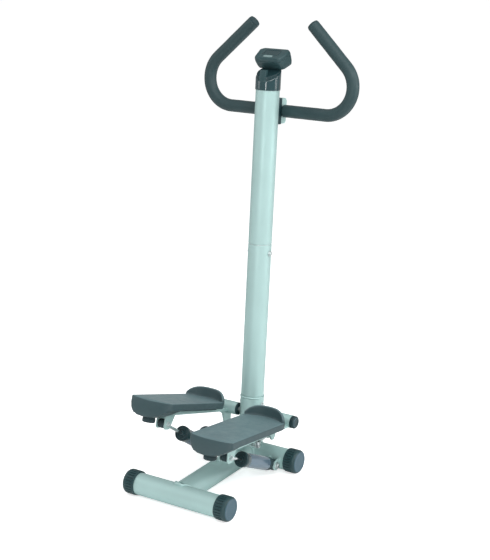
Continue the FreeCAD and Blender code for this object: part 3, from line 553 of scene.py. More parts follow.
SLOT_MATERIALS = {
    "frame_paint": STEEL_PAINT,
    "zinc": ZINC,
    "chrome_rod": CHROME,
    "damper_paint": DAMPER_PAINT,
    "black_plastic": DARK_PLASTIC,
    "gloss_black": GLOSS_PLASTIC,
    "pedal_plastic": PEDAL_PLASTIC,
    "counter_plastic": COUNTER_PLASTIC,
    "foam": FOAM,
    "rubber": RUBBER,
    "clear": WINDOW,
    "lcd": LCD,
    "board": BOARD,
    "battery": BATTERY,
}


def dress_frame():
    """Every CAD node gets its slot's material."""
    for node, obj in frame["nodes"].items():
        obj.data.materials.clear()
        obj.data.materials.append(SLOT_MATERIALS[SLOTS[node]])


# ---- base ----

CAP_INNER = 127.5
TUBE_RADIUS = 30
RIBS = 26
RIB_DEPTH = 2.2
BEAM_RADIUS = 31.0


def end_cap(name, node, side):
    """Ribbed plastic cap with painted shade in the grooves between its ribs and a smooth, slightly domed end
    face, flat where it stands on the floor.
    """
    centre = middle(node)
    floor = -centre.z / MM
    matrix = Matrix.Translation((0, centre.y, centre.z)) @ Matrix.Scale(MM, 4)
    bore = [(30.05, 31.0), (30.05, 0.0)]
    lip = [(31.4, 0.0), (32.6, 0.5), (33.1, 1.8), (33.2, 3.0), (33.3, 4.0), (33.4, 5.0)]
    side_wall = [(33.5, z) for z in (7, 10, 14, 18, 21, 23, 24, 25, 26)]
    shoulder = [(33.45, 28.0), (33.3, 29.5), (32.6, 32.0), (31.2, 34.3), (29.0, 36.0), (26.5, 36.8)]
    face_ring = [(25.6, 36.95), (24.8, 36.5), (24.0, 36.3), (15.0, 36.6), (7.0, 36.75), (0.02, 36.8)]
    profile = bore + lip + side_wall + shoulder + face_ring
    rings = []
    for radius, along in profile:
        ribbed = max(0.0, min(1.0, (along - 3.0) / 2.5, (26.0 - along) / 2.5)) if radius > 33 else 0.0
        ring = []
        for a in around(RIBS * 8):
            groove = smooth_step(math.cos(RIBS * a), 0.0, 0.55)
            r = radius - RIB_DEPTH * ribbed * groove
            ring.append((side * (CAP_INNER + along), r * math.cos(a), max(r * math.sin(a), floor)))
        rings.append(ring)
    rings.insert(0, [(side * (CAP_INNER + 31.0), 0.02 * p[1], 0.02 * p[2]) for p in rings[0]])
    obj = piece(name, skin(rings, matrix), CAP_PLASTIC, "frame", "black_plastic", node, sharp=40)
    obj.data.materials.append(CAP_FACE)
    obj.data.materials.append(DARK_PLASTIC)
    for face in obj.data.polygons:
        along = abs(face.center.x) / MM - CAP_INNER
        radius = math.hypot(face.center.y - centre.y, face.center.z - centre.z) / MM
        if along > 35.2:
            face.material_index = 1
        # Painted shade: faces deep in the rib grooves get the darker plastic.
        elif 3 < along < 26 and radius < 32.3:
            face.material_index = 2


def weld(name, path, radius, matrix, body, closed=False):
    """A painted weld bead as a piece of its own, closed on itself if asked."""
    piece(name, bead(path, radius, matrix, closed), STEEL_PAINT, body, "frame_paint", sharp=60)


def base_welds():
    """Beads where the beam meets both cross tubes and where the stub stands on them."""
    base_z = middle("front_stabilizer_tube").z / MM
    floor_gap = 5.0
    round_beam = BEAM_RADIUS + 0.8
    for name, node, way in (("rear", "rear_stabilizer_tube", 1), ("front", "front_stabilizer_tube", -1)):
        y = middle(node).y / MM
        path = []
        for a in around(120):
            dz = round_beam * math.sin(a)
            out = half_chord(TUBE_RADIUS, dz)
            path.append((round_beam * math.cos(a), y + way * (out - 0.6), max(base_z + dz, floor_gap)))
        weld(f"beam_weld_{name}", path, 4.2, WHOLE, "frame", True)
    round_stub = 33.6
    path = []
    for a in around(160):
        x = round_stub * math.cos(a)
        dy = round_stub * math.sin(a)
        on_beam = half_chord(BEAM_RADIUS, x) if dy < 0 else 0.0
        rise = max(half_chord(TUBE_RADIUS, dy), on_beam)
        path.append((x, y + dy + rise * math.tan(LEAN), base_z + rise + 0.6))
    weld("stub_weld", path, 3.0, WHOLE, "frame", True)


def bracket_welds():
    """Short beads along each damper bracket where it meets the front tube."""
    centre = middle("front_stabilizer_tube") / MM
    for name, side in SIDES:
        for k, x in enumerate((ARM_X - 17.4, ARM_X - 12.6, ARM_X + 12.6, ARM_X + 17.4)):
            path = []
            for step in range(16):
                a = math.radians(152 + step * 56 / 15)
                path.append((side * x, centre.y + 30.4 * math.cos(a), centre.z + 30.4 * math.sin(a)))
            weld(f"bracket_weld_{name}_{k}", path, 1.6, WHOLE, "frame")


# ---- bolts ----

def hexagon(radius, height, matrix):
    """Hexagonal head or nut with its outer corners turned off."""
    across = radius * math.cos(math.radians(30))
    rings = []
    for z, share in ((0.0, 1.0), (height * 0.80, 1.0), (height * 0.93, 0.96), (height, 0.88), (height, 0.6)):
        ring = []
        for a in around(48):
            side = (a + math.pi / 6) % (math.pi / 3) - math.pi / 6
            reach = min(across / math.cos(side), radius * share)
            ring.append((reach * math.cos(a), reach * math.sin(a), z))
        rings.append(ring)
    return skin(rings, matrix)


WASHER = 1.2


def bolt(matrix, length, shank, head, head_height, nut=None):
    """A hexagon bolt on a washer, along the matrix's Z: head below the start, nut past the end."""
    past_washer = Matrix.Translation((0, 0, WASHER))
    washer = [(0, 0), (head, 0), (head + 1.2, 0.3), (head + 1.2, 1.0), (head, WASHER), (0, WASHER)]
    flip = matrix @ Matrix.Rotation(math.pi, 4, "X")
    parts = [
        hexagon(head * 0.94, head_height - WASHER, flip @ past_washer),
        lathe(washer, flip, 40),
        lathe([(0, 0), (shank, 0), (shank, length), (0, length)], matrix, 24),
    ]
    if nut:
        end = matrix @ Matrix.Translation((0, 0, length))
        tip = [(0, 0), (shank, 0), (shank, 1.2), (shank - 0.8, 1.9), (0, 1.9)]
        parts.append(lathe(washer, end, 40))
        parts.append(hexagon(head * 0.94, nut - WASHER, end @ past_washer))
        parts.append(lathe(tip, end @ Matrix.Translation((0, 0, nut)), 24))
    return joined(parts)


def bolts():
    """Real hexagon bolts in place of the CAD model's plain ones."""
    for name, seam, half in (("low", SEAM_LOW, 33.0), ("high", SEAM_HIGH, 32.0)):
        mesh = bolt(COLUMN @ turned_x(-half, 0, seam - 24), 2 * half, 4, 6.5, 4, 4.5)
        piece(f"joint_bolt_{name}", mesh, ZINC, "frame", "zinc", "column_joint_bolts")
    for name, side in SIDES:
        foot = Vector(JOINTS[f"damper_{name}"]["pos_m"])
        mesh = bolt(Matrix.Translation(foot) @ WHOLE @ turned_x(-17.2), 34.4, 5, 8.5, 4, 5)
        piece(f"foot_bolt_{name}", mesh, ZINC, "frame", "zinc", "damper_foot_bolts")
        eye = arm(name) @ turned_x(side * ARM_X - 14.8, -EYE_ALONG, -EYE_DROP)
        mesh = bolt(eye, 29.6, 4, 6.6, 4.5, 5.5)
        piece(f"eye_bolt_{name}", mesh, ZINC, f"treadle_{name}", "zinc", f"damper_eye_bolt_{name}")
    for k, height in enumerate((-21, 21)):
        start = COLUMN @ turned_y(0, BAR_OUT + 16, BAR_UP + height)
        piece(f"clamp_bolt_{k}", bolt(start, 45, 4, 6.4, 5), ZINC, "frame", "zinc", "handlebar_bolts")


# ---- column top and handlebar ----

BAR_STRAIGHT = 149
BEND = 74.5
TURN = math.radians(136.9)
TAIL = 149
BAR_LENGTH = BAR_STRAIGHT + BEND * TURN + TAIL
BAR_RADIUS = 12.75
GRIP = 17
GRIP_START = 20


def bar_point(along):
    """Centre line of the bar's right half: the point and its direction, at a length from the middle."""
    arc = BEND * TURN
    if along <= BAR_STRAIGHT:
        return Vector((along, 0, 0)), Vector((1, 0, 0))
    if along <= BAR_STRAIGHT + arc:
        a = (along - BAR_STRAIGHT) / BEND
        return (Vector((BAR_STRAIGHT + BEND * math.sin(a), 0, BEND * (1 - math.cos(a)))),
                Vector((math.cos(a), 0, math.sin(a))))
    way = Vector((math.cos(TURN), 0, math.sin(TURN)))
    bend_end = Vector((BAR_STRAIGHT + BEND * math.sin(TURN), 0, BEND * (1 - math.cos(TURN))))
    return bend_end + way * (along - BAR_STRAIGHT - arc), way


def grip(name, side):
    """Foam sleeve: round ends, slightly uneven skin, and an inner wall on the bar."""
    start = GRIP_START
    end = BAR_LENGTH
    count = 110
    long_side = end - start - 6
    stations = [(start, BAR_RADIUS), (start, 14.5), (start + 0.5, 15.9), (start + 1.5, 16.7)]
    stations += [(start + 3 + long_side * k / count, GRIP) for k in range(count + 1)]
    stations += [(end - 1.5, 16.7), (end - 0.5, 15.9), (end, 14.5), (end, BAR_RADIUS)]
    stations += [(end + (start - end) * k / count, BAR_RADIUS) for k in range(1, count + 1)]
    rings = []
    for along, radius in stations:
        point, way = bar_point(along)
        up = Vector((0, 1, 0))
        out = way.cross(up)
        ring = []
        for a in around(40):
            spot = point + out * math.cos(a) * radius + up * math.sin(a) * radius
            swell = 0.22 * noise.noise(spot * 0.045) + 0.08 * noise.noise(spot * 0.3)
            if radius < GRIP:
                swell = 0
            spot += (spot - point).normalized() * swell
            ring.append((side * spot.x, spot.y, spot.z))
        rings.append(ring)
    mesh = skin(rings, BAR, caps=False)
    piece(f"grip_{name}_foam", mesh, FOAM, "frame", "foam", f"grip_{name}", sharp=60)


def bar_plug(name, side):
    """Domed plug with a flange in the open end of the bar."""
    point, way = bar_point(BAR_LENGTH)
    way = Vector((side * way.x, way.y, way.z))
    point = Vector((side * point.x, point.y, point.z))
    turn = way.to_track_quat("Z", "Y").to_matrix().to_4x4()
    profile = [(0, -16), (11, -16), (11, 0), (16, 0), (16, 2.4), (10.5, 2.9), (9.8, 2.2), (0, 2.6)]
    corners = [0, 1, 0, 0.6, 1.2, 0.5, 0.5, 0]
    mesh = turned(profile, corners, BAR @ Matrix.Translation(point) @ turn, 48)
    piece(name, mesh, DARK_PLASTIC, "frame", "black_plastic", "bar_end_plugs")


def column_tubes():
    """Upper and lower tube with rounded rims, so that each seam is a fine groove, and the stub's rolled rim."""
    for name, bottom, top in (("lower", SEAM_LOW, SEAM_HIGH), ("upper", SEAM_HIGH, COLUMN_TOP)):
        low = bottom + 0.6
        high = top - 0.6
        lower_rim = [(30.6, low), (31.0, low), (32.0, low + 1.3)]
        upper_rim = [(32.0, high - 1.3), (31.0, high), (30.6, high)]
        mesh = turned(lower_rim + upper_rim, [0, 0.2, 0.5, 0.5, 0.2, 0], COLUMN, 96)
        piece(f"column_{name}_finished", mesh, STEEL_PAINT, "frame", "frame_paint", f"column_{name}_tube")
    outer = [(32.9, 158.2), (33.6, 158.8), (34.3, 160.4), (34.3, 162.4), (33.2, 163.6)]
    inner = [(32.1, 163.6), (32.1, 161.0), (32.9, 161.0)]
    rim = turned(outer + inner, [0, 0.6, 0.9, 0.9, 0.6, 0, 0, 0], COLUMN, 96)
    piece("stub_rim", rim, STEEL_PAINT, "frame", "frame_paint")


# the cap's slanted top: its height at the user's side, how far off that is, and how steeply it rises
CAP_LOW = 13
CAP_NEAR = 50
CAP_SLOPE = 0.6


def cap_ring(radius, height, slant):
    """A ring of the cap, which follows the slant of its top by a share from 0 to 1."""
    ring = []
    for a in around(96):
        y = radius * math.sin(a)
        top = CAP_LOW + (y + CAP_NEAR) * CAP_SLOPE
        ring.append((radius * math.cos(a), y, height + slant * top))
    return ring


def column_cap():
    """Glossy cap with a rolled lower rim, cut off at a slant."""
    bore = [(0.02, 25.0, 0), (32.05, 25.0, 0), (32.05, 0.0, 0)]
    lower_rim = [(32.6, -0.1, 0), (33.5, 0.5, 0), (33.8, 1.6, 0), (33.8, 3.0, 0)]
    wall = [(33.8, 3.0 - 7.5 * t, t) for t in (0.2, 0.4, 0.6, 0.8)]
    upper_rim = [(33.8, -4.5, 1), (33.8, -2.4, 1), (33.55, -1.0, 1), (32.8, -0.25, 1), (31.6, 0.0, 1)]
    top = [(20.0, 0.0, 1), (0.02, CAP_LOW + CAP_NEAR * CAP_SLOPE, 0)]
    rings = [cap_ring(*row) for row in bore + lower_rim + wall + upper_rim + top]
    mesh = skin(rings, COLUMN @ Matrix.Translation((0, 0, CAP_BASE)))
    piece("column_cap_finished", mesh, GLOSS_PLASTIC, "frame", "gloss_black", "column_cap", sharp=50)


# ---- step counter ----

def counter_outline(front, back, depth, far, inset):
    """Plan of the counter: half widths at the near and far edge, and its half depths."""
    f = front - inset
    b = back - inset
    d = depth - inset
    e = far - inset
    near = [(-f + 6, -d), (f - 6, -d), (f, -d + 5)]
    rest = [(b, e - 9), (b - 9, e), (-b + 9, e), (-b, e - 9), (-f, -d + 5)]
    return soften(near + rest, 3.0)


def at_height(plan, z):
    """A plan's outline lifted to a height."""
    return [(p.x, p.y, z) for p in plan]


def slab(left, right, near, far):
    """Corners of a rectangle."""
    return [(left, near), (right, near), (right, far), (left, far)]


def neck_clip():
    """Moulded block on the front of the collar that the counter clips to."""
    place = COLUMN @ Matrix.Translation((0, -26.5, CAP_BASE))
    corners = soften(slab(-9.5, 9.5, -6, 6), 1.5)
    heights = ((21.0, 0.90), (22.0, 1.0), (52.0, 1.0), (53.0, 0.90))
    rings = [[(p.x * share, p.y * share + 0.10 * (z - 21), z) for p in corners] for z, share in heights]
    piece("counter_clip", skin(rings, place), COUNTER_PLASTIC, "frame", "counter_plastic")


def cut_out(obj, cutter_mesh):
    """Cuts a mesh out of a piece for good."""
    cutter = bpy.data.objects.new("cutter", cutter_mesh)
    bpy.context.scene.collection.objects.link(cutter)
    modifier = obj.modifiers.new("cut", "BOOLEAN")
    modifier.operation = "DIFFERENCE"
    modifier.solver = "EXACT"
    modifier.object = cutter
    depsgraph = bpy.context.evaluated_depsgraph_get()
    mesh = bpy.data.meshes.new_from_object(obj.evaluated_get(depsgraph))
    obj.modifiers.remove(modifier)
    old = obj.data
    obj.data = mesh
    mesh.name = obj.name
    bpy.data.objects.remove(cutter)
    bpy.data.meshes.remove(old)


def prism(corners, low, high, radius):
    """A block in the counter's frame with rounded upright corners."""
    plan = soften(corners, radius, 5)
    return skin([at_height(plan, low), at_height(plan, high)], COUNTER)


# inset and height of each ring up the lid
LID = (
    (0.9, -12.0), (0.2, -11.4), (0.0, -10.4), (0.3, -5.0),
    (0.9, -2.6), (2.0, -1.0), (3.6, -0.1), (5.5, 0.0),
)

# outline (near and far half width, near and far half depth, inset) and height of each ring down the shell
SHELL = (
    (40, 47, 29, 29, 1.2, -12.05),
    (40, 47, 29, 29, 0.5, -12.6),
    (40.2, 47, 28.4, 29, 0.0, -14.0),
    (41.5, 47, 22.0, 28.5, 0.0, -27.0),
    (41.0, 46, 18.0, 27.0, 0.0, -35.5),
    (41.0, 46, 18.0, 27.0, 1.2, -38.1),
    (41.0, 46, 18.0, 27.0, 3.4, -39.3),
    (41.0, 46, 18.0, 27.0, 7.0, -39.5),
)


def window_frame():
    """Glossy rim in the lid's cut-out, round the window."""
    outer = soften(slab(-24.4, 24.4, -9.4, 17.4), 2.5, 5)
    inner = soften(slab(-22.6, 22.6, -7.6, 15.6), 1.5, 5)
    outside = [at_height(outer, z) for z in (-0.6, 0.5, 0.8)]
    inside = [at_height(inner, z) for z in (0.8, -0.3, -0.6)]
    rim = skin(outside + inside + [at_height(outer, -0.6)], COUNTER, caps=False)
    piece("window_frame", rim, GLOSS_PLASTIC, "frame", "gloss_black")


def counter_key():
    """Oblong push button with a rounded top."""
    rings = []
    for inset, corner, z in ((0, 4.8, -4.4), (0, 4.8, 0.3), (0.4, 4.4, 0.9), (1.2, 3.6, 1.2)):
        plan = slab(-13.8 + inset, 13.8 - inset, -23.8 + inset, -14.2 - inset)
        rings.append(at_height(soften(plan, corner, 6), z))
    mesh = skin(rings, COUNTER)
    piece("button_finished", mesh, BUTTON_PLASTIC, "counter_button", "counter_plastic", "counter_button")


def counter():
    """Two-part housing with a bevelled lid, a seam, a framed window and an oblong button."""
    lid = [at_height(counter_outline(40, 47, 29, 29, inset), z) for inset, z in LID]
    upper = piece("counter_lid_finished", skin(lid, COUNTER), COUNTER_PLASTIC, "frame", "counter_plastic",
                  "counter_upper_housing")
    cut_out(upper, prism(slab(-23, 23, -8, 16), -2.2, 3, 1.5))
    cut_out(upper, prism(slab(-14.2, 14.2, -24.2, -13.8), -6.0, 3, 5.0))
    rounded_edges(upper, 0.5, 2, 50)
    shell = [at_height(counter_outline(*outline), z) for *outline, z in SHELL]
    piece("counter_shell_finished", skin(shell, COUNTER), COUNTER_PLASTIC, "frame", "counter_plastic",
          "counter_lower_housing")
    window_frame()
    counter_key()


# ---- pedals ----

PEDAL_TOP = 19
PEDAL_NEAR = 349
FACE_START = 343
TOE_CENTRE = 155
TOE_OUTER = 95
TOE_INNER = 87
CHANNEL_HALF = 39
KEEL_X = -12
PEDAL_HALF = 65.5
TOE_RISE = 29

# belly of the pedal at its near end: across as a share of the half width, down from the pedal's surface
BELLY = (
    (-1, 15), (-0.98, 26), (-0.92, 37), (-0.79, 45), (-0.58, 49.6), (-0.34, 50.8), (-0.10, 50.4),
    (0.14, 48), (0.38, 43), (0.58, 36.5), (0.79, 28), (0.92, 22), (0.98, 17), (1, 13),
)


def belly_depth(share):
    """Depth of the near end's belly below the surface, at a share of the pedal's half width."""
    for (low, first), (high, second) in zip(BELLY, BELLY[1:]):
        if share <= high:
            return first + (second - first) * smooth_step(share, low, high)
    return BELLY[-1][1]


def half_width(along):
    """Half width of the pedal's plan at a length from the axle."""
    if along < TOE_CENTRE - 60:
        return min(PEDAL_HALF, half_chord(TOE_OUTER, TOE_CENTRE - along))
    corner = 9.0
    over = along - (PEDAL_NEAR - corner)
    if over > 0:
        return PEDAL_HALF - corner + half_chord(corner, min(over, corner))
    return PEDAL_HALF


def pedal_ring(along, shift):
    """Closed section of the pedal: rounded top edges, sides, and the belly or the seat on the arm."""
    w = half_width(along)
    deep = 0.24 + 0.21 * smooth_step(along, 95, 235) + 0.55 * smooth_step(along, 215, 318)
    shallow = smooth_step(along, 60, 92)
    over = along - (PEDAL_NEAR - 8)
    if over > 0:
        deep *= 1 - 0.22 * (min(over, 8) / 8) ** 2
    points = []
    r = min(3.0, w * 0.4)
    for k in range(7):
        a = math.radians(90 * k / 6)
        points.append((-w + r - r * math.sin(a), PEDAL_TOP - r + r * math.cos(a)))
    for k in range(41):
        share = -1 + k / 20
        x = share * w
        depth = belly_depth(share) * deep
        low = min(PEDAL_TOP - 5.0, PEDAL_TOP - max(13.0 * shallow + 4.5, depth))
        if 72 < along < EYE_ALONG + 20 and abs(x - shift) < CHANNEL_HALF:
            low = -7.9
        points.append((x, low))
    for k in range(7):
        a = math.radians(90 - 90 * k / 6)
        points.append((w - r + r * math.sin(a), PEDAL_TOP - r + r * math.cos(a)))
    for k in range(1, 12):
        points.append((w - r - 2 * (w - r) * k / 12, PEDAL_TOP))
    return points


def near_face(x, z):
    """How far the near face stands out, by where on the face."""
    bulge = 4.2 * (1 - ((z + 4) / 28) ** 2)
    return PEDAL_NEAR - 1.5 + bulge - 6.0 * (abs(x) / PEDAL_HALF) ** 4


def pedal_slab(matrix, shift):
    """The pedal's body: sections from the toe to the near end, then a rounded near face."""
    turns = (1.5, 5, 9, 14, 19, 24, 29, 34, 38)
    stations = [TOE_CENTRE - TOE_OUTER * math.cos(math.radians(turn)) for turn in turns]
    stations += [85, 95, 110, 130, 150, 170, 190, 205, 220, 232, 244, 256, 268, 280]
    stations += [289.2, 289.4, 296, 304, 312, 320, 328, 335, 340, FACE_START]
    rings = []
    for along in stations:
        rings.append([(x, -along, z) for x, z in pedal_ring(along, shift)])
    base = pedal_ring(FACE_START, shift)
    centre = (KEEL_X / 2, -8.0)
    for turn in (15, 30, 45, 60, 75, 90):
        a = math.radians(turn)
        inset = 5.0 * (1 - math.cos(a))
        ring = []
        for x, z in base:
            away = math.hypot(x - centre[0], z - centre[1])
            scale = (away - inset) / away
            px = centre[0] + (x - centre[0]) * scale
            pz = centre[1] + (z - centre[1]) * scale
            ring.append((px, -(FACE_START + (near_face(px, pz) - FACE_START) * math.sin(a)), pz))
        rings.append(ring)
    last = rings[-1]
    for share in (0.88, 0.72, 0.54, 0.36, 0.18, 0.001):
        ring = []
        for x, _, z in last:
            px = centre[0] + (x - centre[0]) * share
            pz = centre[1] + (z - centre[1]) * share
            ring.append((px, -near_face(px, pz), pz))
        rings.append(ring)
    return skin(rings, matrix)


def toe_wall(matrix):
    """Curved wall at the far end: rounded rim, highest in the middle, running down into the sides."""
    limit = math.asin((PEDAL_HALF - 0.5) / TOE_OUTER)
    half = (TOE_OUTER - TOE_INNER) / 2
    mid = (TOE_OUTER + TOE_INNER) / 2
    steps = 64
    rings = []
    for k in range(steps + 1):
        a = -limit + 2 * limit * k / steps
        x = TOE_OUTER * math.sin(a)
        rise = max(1.0, TOE_RISE * max(0.0, 1 - (abs(x) / (PEDAL_HALF + 1)) ** 3.4) ** 0.62)
        top = max(rise - half, 0.0)
        ring = [(TOE_INNER, -4.0)]
        for z in (0.0, 1.5, 3.0, 4.5, 6.0):
            if z < rise - half:
                ring.append((TOE_INNER - 1.6 * max(0.0, 1 - z / 6) ** 2, z))
        while len(ring) < 6:
            ring.append((TOE_INNER, top * 0.9))
        start = min(6.0, top)
        ring += [(TOE_INNER, start + (top - start) * t) for t in (0.4, 0.7, 1.0)]
        for turn in range(1, 9):
            b = math.pi * turn / 8
            ring.append((mid - half * math.cos(b), top + half * math.sin(b)))
        ring += [(TOE_OUTER, top * t) for t in (0.7, 0.4, 0.0)]
        ring.append((TOE_OUTER, -4.0))
        rings.append([(r * math.sin(a), -TOE_CENTRE + r * math.cos(a), PEDAL_TOP + z) for r, z in ring])
    return skin(rings, matrix)


def pedal(name, side):
    """A pedal with its toe wall, and the round bumper on a foot under its near end."""
    matrix = arm(name) @ Matrix.Translation((side * PEDAL_X, 0, 0))
    shift = side * (ARM_X - PEDAL_X)
    body = f"treadle_{name}"
    mesh = joined([pedal_slab(matrix, shift), toe_wall(matrix)])
    piece(f"pedal_{name}_finished", mesh, PEDAL_PLASTIC, body, "pedal_plastic", f"pedal_{name}", sharp=45)
    foot = matrix @ Matrix.Translation((KEEL_X, -PEDAL_NEAR + 24, 0)) @ Matrix.Rotation(math.pi, 4, "X")
    stem = [(0, 26), (16.2, 26), (16.6, 34)]
    pad = [(17.5, 35), (17.5, 43.5), (15.5, 45), (6, 45), (5, 44), (0, 44)]
    mesh = turned(stem + pad, [0, 0, 0.5, 0.8, 1.4, 1.0, 0.4, 0.4, 0], foot)
    piece(f"bumper_{name}_finished", mesh, RUBBER, body, "rubber", f"bumper_{name}")


# ---- arms, hubs and dampers ----

def hub(name, side):
    """Flanged bushes, a lock nut and the beads that hold the arm to its hub tube."""
    matrix = arm(name)
    body = f"treadle_{name}"
    spigot = [(8.06, -4), (8.06, 4.4)]
    flange = [(9.5, 5), (15.5, 5), (17.5, 4.2), (17.5, 0.4), (16.9, 0), (15.9, 0), (15.9, -4)]
    for end, face, outward in (("outer", 138.5, 1), ("inner", 38.5, -1)):
        axis = matrix @ turned_x(side * face, flip=side * outward < 0)
        mesh = turned(spigot + flange, [0, 0.5, 0.5, 0.8, 0.8, 0.4, 0, 0, 0], axis)
        piece(f"hub_bush_{end}_{name}", mesh, DARK_PLASTIC, body, "black_plastic", f"hub_bushes_{name}")
    nut_axis = local(PIVOT, 0) @ turned_x(side * 144.0, flip=side < 0)
    skirt = [(8.05, 0.3), (17.5, 0.3), (17.5, 4.6), (15.6, 7), (12.5, 7), (11.6, 8.5)]
    dome = [(7.5, 8.5), (6.8, 7.6), (0, 7.6), (0, 5.5), (8.05, 5.5)]
    mesh = turned(skirt + dome, [0, 0.5, 1.2, 0.9, 0.5, 0.6, 0.5, 0.4, 0, 0, 0], nut_axis)
    piece(f"axle_nut_{name}_finished", mesh, DARK_PLASTIC, "frame", "black_plastic", "axle_end_nuts")
    mesh = turned([(9.4, 7.0), (9.4, 8.1), (12.9, 8.1), (13.4, 7.0)], [0, 0.3, 0.4, 0], nut_axis)
    piece(f"axle_nut_ring_{name}", mesh, CAP_FACE, "frame", "black_plastic")
    path = [(side * (64 + k * 1.2), -16.6, -7.2) for k in range(62)]
    weld(f"arm_weld_{name}", path, 2.3, matrix, body)
    for k, offset in enumerate((-3.3, 3.3)):
        path = []
        for step in range(24):
            a = math.radians(205 + step * 130 / 23)
            path.append((side * 72.5 + offset, 18.4 * math.cos(a), 18.4 * math.sin(a)))
        weld(f"lug_weld_{name}_{k}", path, 1.5, matrix, body)


BARREL = 19.5
BARREL_BORE = 15.1
BARREL_START = 37.6
BARREL_END = 157.5


def damper_barrel(name, axis, foot_axis):
    """Painted barrel on a stepped black foot block with the lower eye."""
    body = f"damper_{name}"
    node = f"damper_cylinder_{name}"
    outside = [(BARREL_BORE, BARREL_START), (18.7, BARREL_START), (BARREL, 38.4), (BARREL, BARREL_END)]
    mesh = turned(outside + [(BARREL_BORE, BARREL_END)], [0, 0.6, 0.6, 0.4, 0], axis, 72)
    piece(f"damper_barrel_{name}", mesh, DAMPER_PAINT, body, "damper_paint", node)
    root = [(0, 12), (12, 12), (14.5, 19), (18.6, 21), (18.6, 24), (17.6, 24.8), (17.6, 27), (19.3, 27.8)]
    seat = [(19.3, 36.5), (17, 37.5), (BARREL_BORE, 37.5), (BARREL_BORE, 28), (0, 28)]
    foot = turned(root + seat, [0, 0, 1, 1, 0.5, 0.3, 0.3, 0.5, 0.6, 0, 0, 0, 0], axis, 64)
    eye = [(5.06, -12.4), (14.3, -12.4), (15.4, -11.4), (15.4, 11.4), (14.3, 12.4), (5.06, 12.4)]
    mesh = joined([foot, turned(eye, 0.6, foot_axis)])
    piece(f"damper_foot_{name}", mesh, DARK_PLASTIC, body, "black_plastic", node)


def damper_end(name, axis):
    """Glossy collar and matt stepped head ring round the rod."""
    body = f"damper_{name}"
    node = f"damper_head_{name}"
    collar = [(19.55, 148.5), (20.2, 148.5), (20.5, 149.2), (20.5, 163.4), (19.55, 163.4)]
    mesh = turned(collar, [0, 0.3, 0.3, 0, 0], axis, 72)
    piece(f"damper_collar_{name}", mesh, GLOSS_PLASTIC, body, "gloss_black", node)
    rim = [(19.55, 162.6), (21.0, 162.6), (21.5, 163.4), (21.5, 169.4), (19.8, 172.4), (17.4, 172.4)]
    steps = [(16.6, 170.6), (13.6, 170.6), (12.8, 171.8), (10.8, 171.8), (10.0, 170.0), (8.6, 170.0)]
    bore = [(8.0, 172.4), (4.56, 172.4), (4.56, 157.7), (19.55, 157.7)]
    corners = [0, 0.4, 0.4, 1.6, 0.9] + [0.4] * 8 + [0, 0, 0]
    mesh = turned(rim + steps + bore, corners, axis, 72)
    piece(f"damper_head_{name}_finished", mesh, DARK_PLASTIC, body, "black_plastic", node)


def damper_pieces(name):
    """Barrel, foot and head of a damper, and the boot round its rod's eye."""
    matrix = damper(name)
    axis = matrix @ turned_y(0, 0, 0)
    damper_barrel(name, axis, matrix @ turned_x(0))
    damper_end(name, axis)
    span = (middle(f"damper_eye_bolt_{name}") - Vector(JOINTS[f"damper_{name}"]["pos_m"])).length / MM
    boot = [(6.6, -10.5), (10.4, -10.5), (12.8, -8.5), (12.8, 8.5), (10.4, 10.5), (6.6, 10.5)]
    mesh = turned(boot, [0.5, 0.8, 1.6, 1.6, 0.8, 0.5], matrix @ turned_x(0, -span, 0))
    piece(f"eye_boot_{name}", mesh, RUBBER, f"piston_rod_{name}", "rubber", f"damper_eye_bush_{name}")


# ---- stage ----

def camera():
    """Seen from the user's side, to the right and from above the counter."""
    data = bpy.data.cameras.new("camera")
    data.lens = 86.51
    data.sensor_width = 36
    data.shift_x = 0.0003
    data.shift_y = 0.0405
    data.clip_end = 200
    obj = bpy.data.objects.new("camera", data)
    bpy.context.scene.collection.objects.link(obj)
    obj.location = (1.875, -2.8566, 1.593)
    obj.rotation_euler = (math.radians(72.18), 0, math.radians(32.62))
    bpy.context.scene.camera = obj


def light(name, azimuth, elevation, distance, width, height, power):
    """A soft box that faces the machine's middle. Azimuth 0 is the user's side, 90 the user's right."""
    target = Vector((0, 0, 0.55))
    a, e = math.radians(azimuth), math.radians(elevation)
    away = Vector((math.sin(a) * math.cos(e), -math.cos(a) * math.cos(e), math.sin(e)))
    data = bpy.data.lights.new(name, "AREA")
    data.shape = "RECTANGLE"
    data.size = width
    data.size_y = height
    data.energy = power
    obj = bpy.data.objects.new(name, data)
    bpy.context.scene.collection.objects.link(obj)
    obj.location = target + away * distance
    obj.rotation_euler = away.to_track_quat("Z", "Y").to_euler()


def seen_only(tree):
    """1 where the camera looks straight at a surface, 0 for light that bounces off it."""
    return tree.nodes.new("ShaderNodeLightPath").outputs["Is Camera Ray"]


def sky():
    """White behind the machine, softer for the light it gives."""
    world = bpy.data.worlds.new("studio")
    world.use_nodes = True
    tree = world.node_tree
    background = tree.nodes["Background"]
    background.inputs["Color"].default_value = (1.0, 1.0, 1.0, 1)
    strength = tree.nodes.new("ShaderNodeMapRange")
    strength.inputs["To Min"].default_value = 0.42
    strength.inputs["To Max"].default_value = 1.06
    tree.links.new(seen_only(tree), strength.inputs["Value"])
    tree.links.new(strength.outputs["Result"], background.inputs["Strength"])
    return world


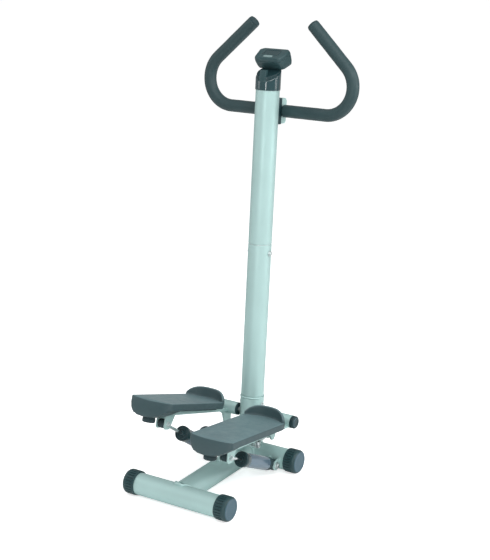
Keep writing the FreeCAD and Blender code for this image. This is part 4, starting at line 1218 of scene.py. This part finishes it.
def ground():
    """Pale floor, lifted to white where the camera sees it."""
    bm = bmesh.new()
    bmesh.ops.create_circle(bm, cap_ends=True, segments=64, radius=40)
    floor = bpy.data.objects.new("floor", to_mesh(bm))
    bpy.context.scene.collection.objects.link(floor)
    s = Surface("floor_white", (0.93, 0.94, 0.94), 0.65)
    s.tint(s.ramp(s.noise(3, 3), 0.4, 0.7, 0, 0.15), (0.90, 0.91, 0.91))
    s.shader.inputs["Emission Color"].default_value = (1, 1, 1, 1)
    s.tree.links.new(s.math("MULTIPLY", seen_only(s.tree), 0.62), s.shader.inputs["Emission Strength"])
    floor.data.materials.append(s.done())


def stage():
    """Backdrop, floor, soft boxes and camera."""
    scene = bpy.context.scene
    scene.view_settings.view_transform = "Standard"
    scene.world = sky()
    ground()
    light("key", 62, 38, 3.2, 1.8, 2.2, 42)
    light("strip", 13, 12, 3.0, 0.28, 1.9, 18)
    light("left_fill", -62, 25, 3.2, 1.2, 2.2, 14)
    light("rear_right", 112, 22, 2.8, 0.9, 2.2, 34)
    light("top", 20, 82, 2.6, 2.2, 2.2, 22)
    camera()


# ---- everything ----

REFINED = (
    ("damper_brackets", 0.7, STEEL_PAINT),
    ("equaliser_bracket", 1.0, STEEL_PAINT),
    ("equaliser_bar", 0.8, ZINC),
    ("equaliser_bolt", 0.6, ZINC),
    ("pedal_arm_left", 0.7, STEEL_PAINT),
    ("pedal_arm_right", 0.7, STEEL_PAINT),
    ("link_rod_left", 0.8, ZINC),
    ("link_rod_right", 0.8, ZINC),
    ("handlebar_saddle", 1.2, DARK_PLASTIC),
    ("handlebar_clamp", 1.6, STEEL_PAINT),
    ("counter_neck", 1.0, DARK_PLASTIC),
    ("battery_door", 0.5, COUNTER_PLASTIC),
)

dress_frame()
for node, width, material in REFINED:
    refined(node, width, material)
for row, label in (("rear", "rear_end_caps"), ("front", "front_end_caps")):
    for name, side in SIDES:
        end_cap(f"end_cap_{row}_{name}", label, side)
base_welds()
bracket_welds()
bolts()
for name, side in SIDES:
    grip(name, side)
    bar_plug(f"bar_plug_{name}", side)
    pedal(name, side)
    hub(name, side)
    damper_pieces(name)
column_tubes()
column_cap()
neck_clip()
counter()
stage()
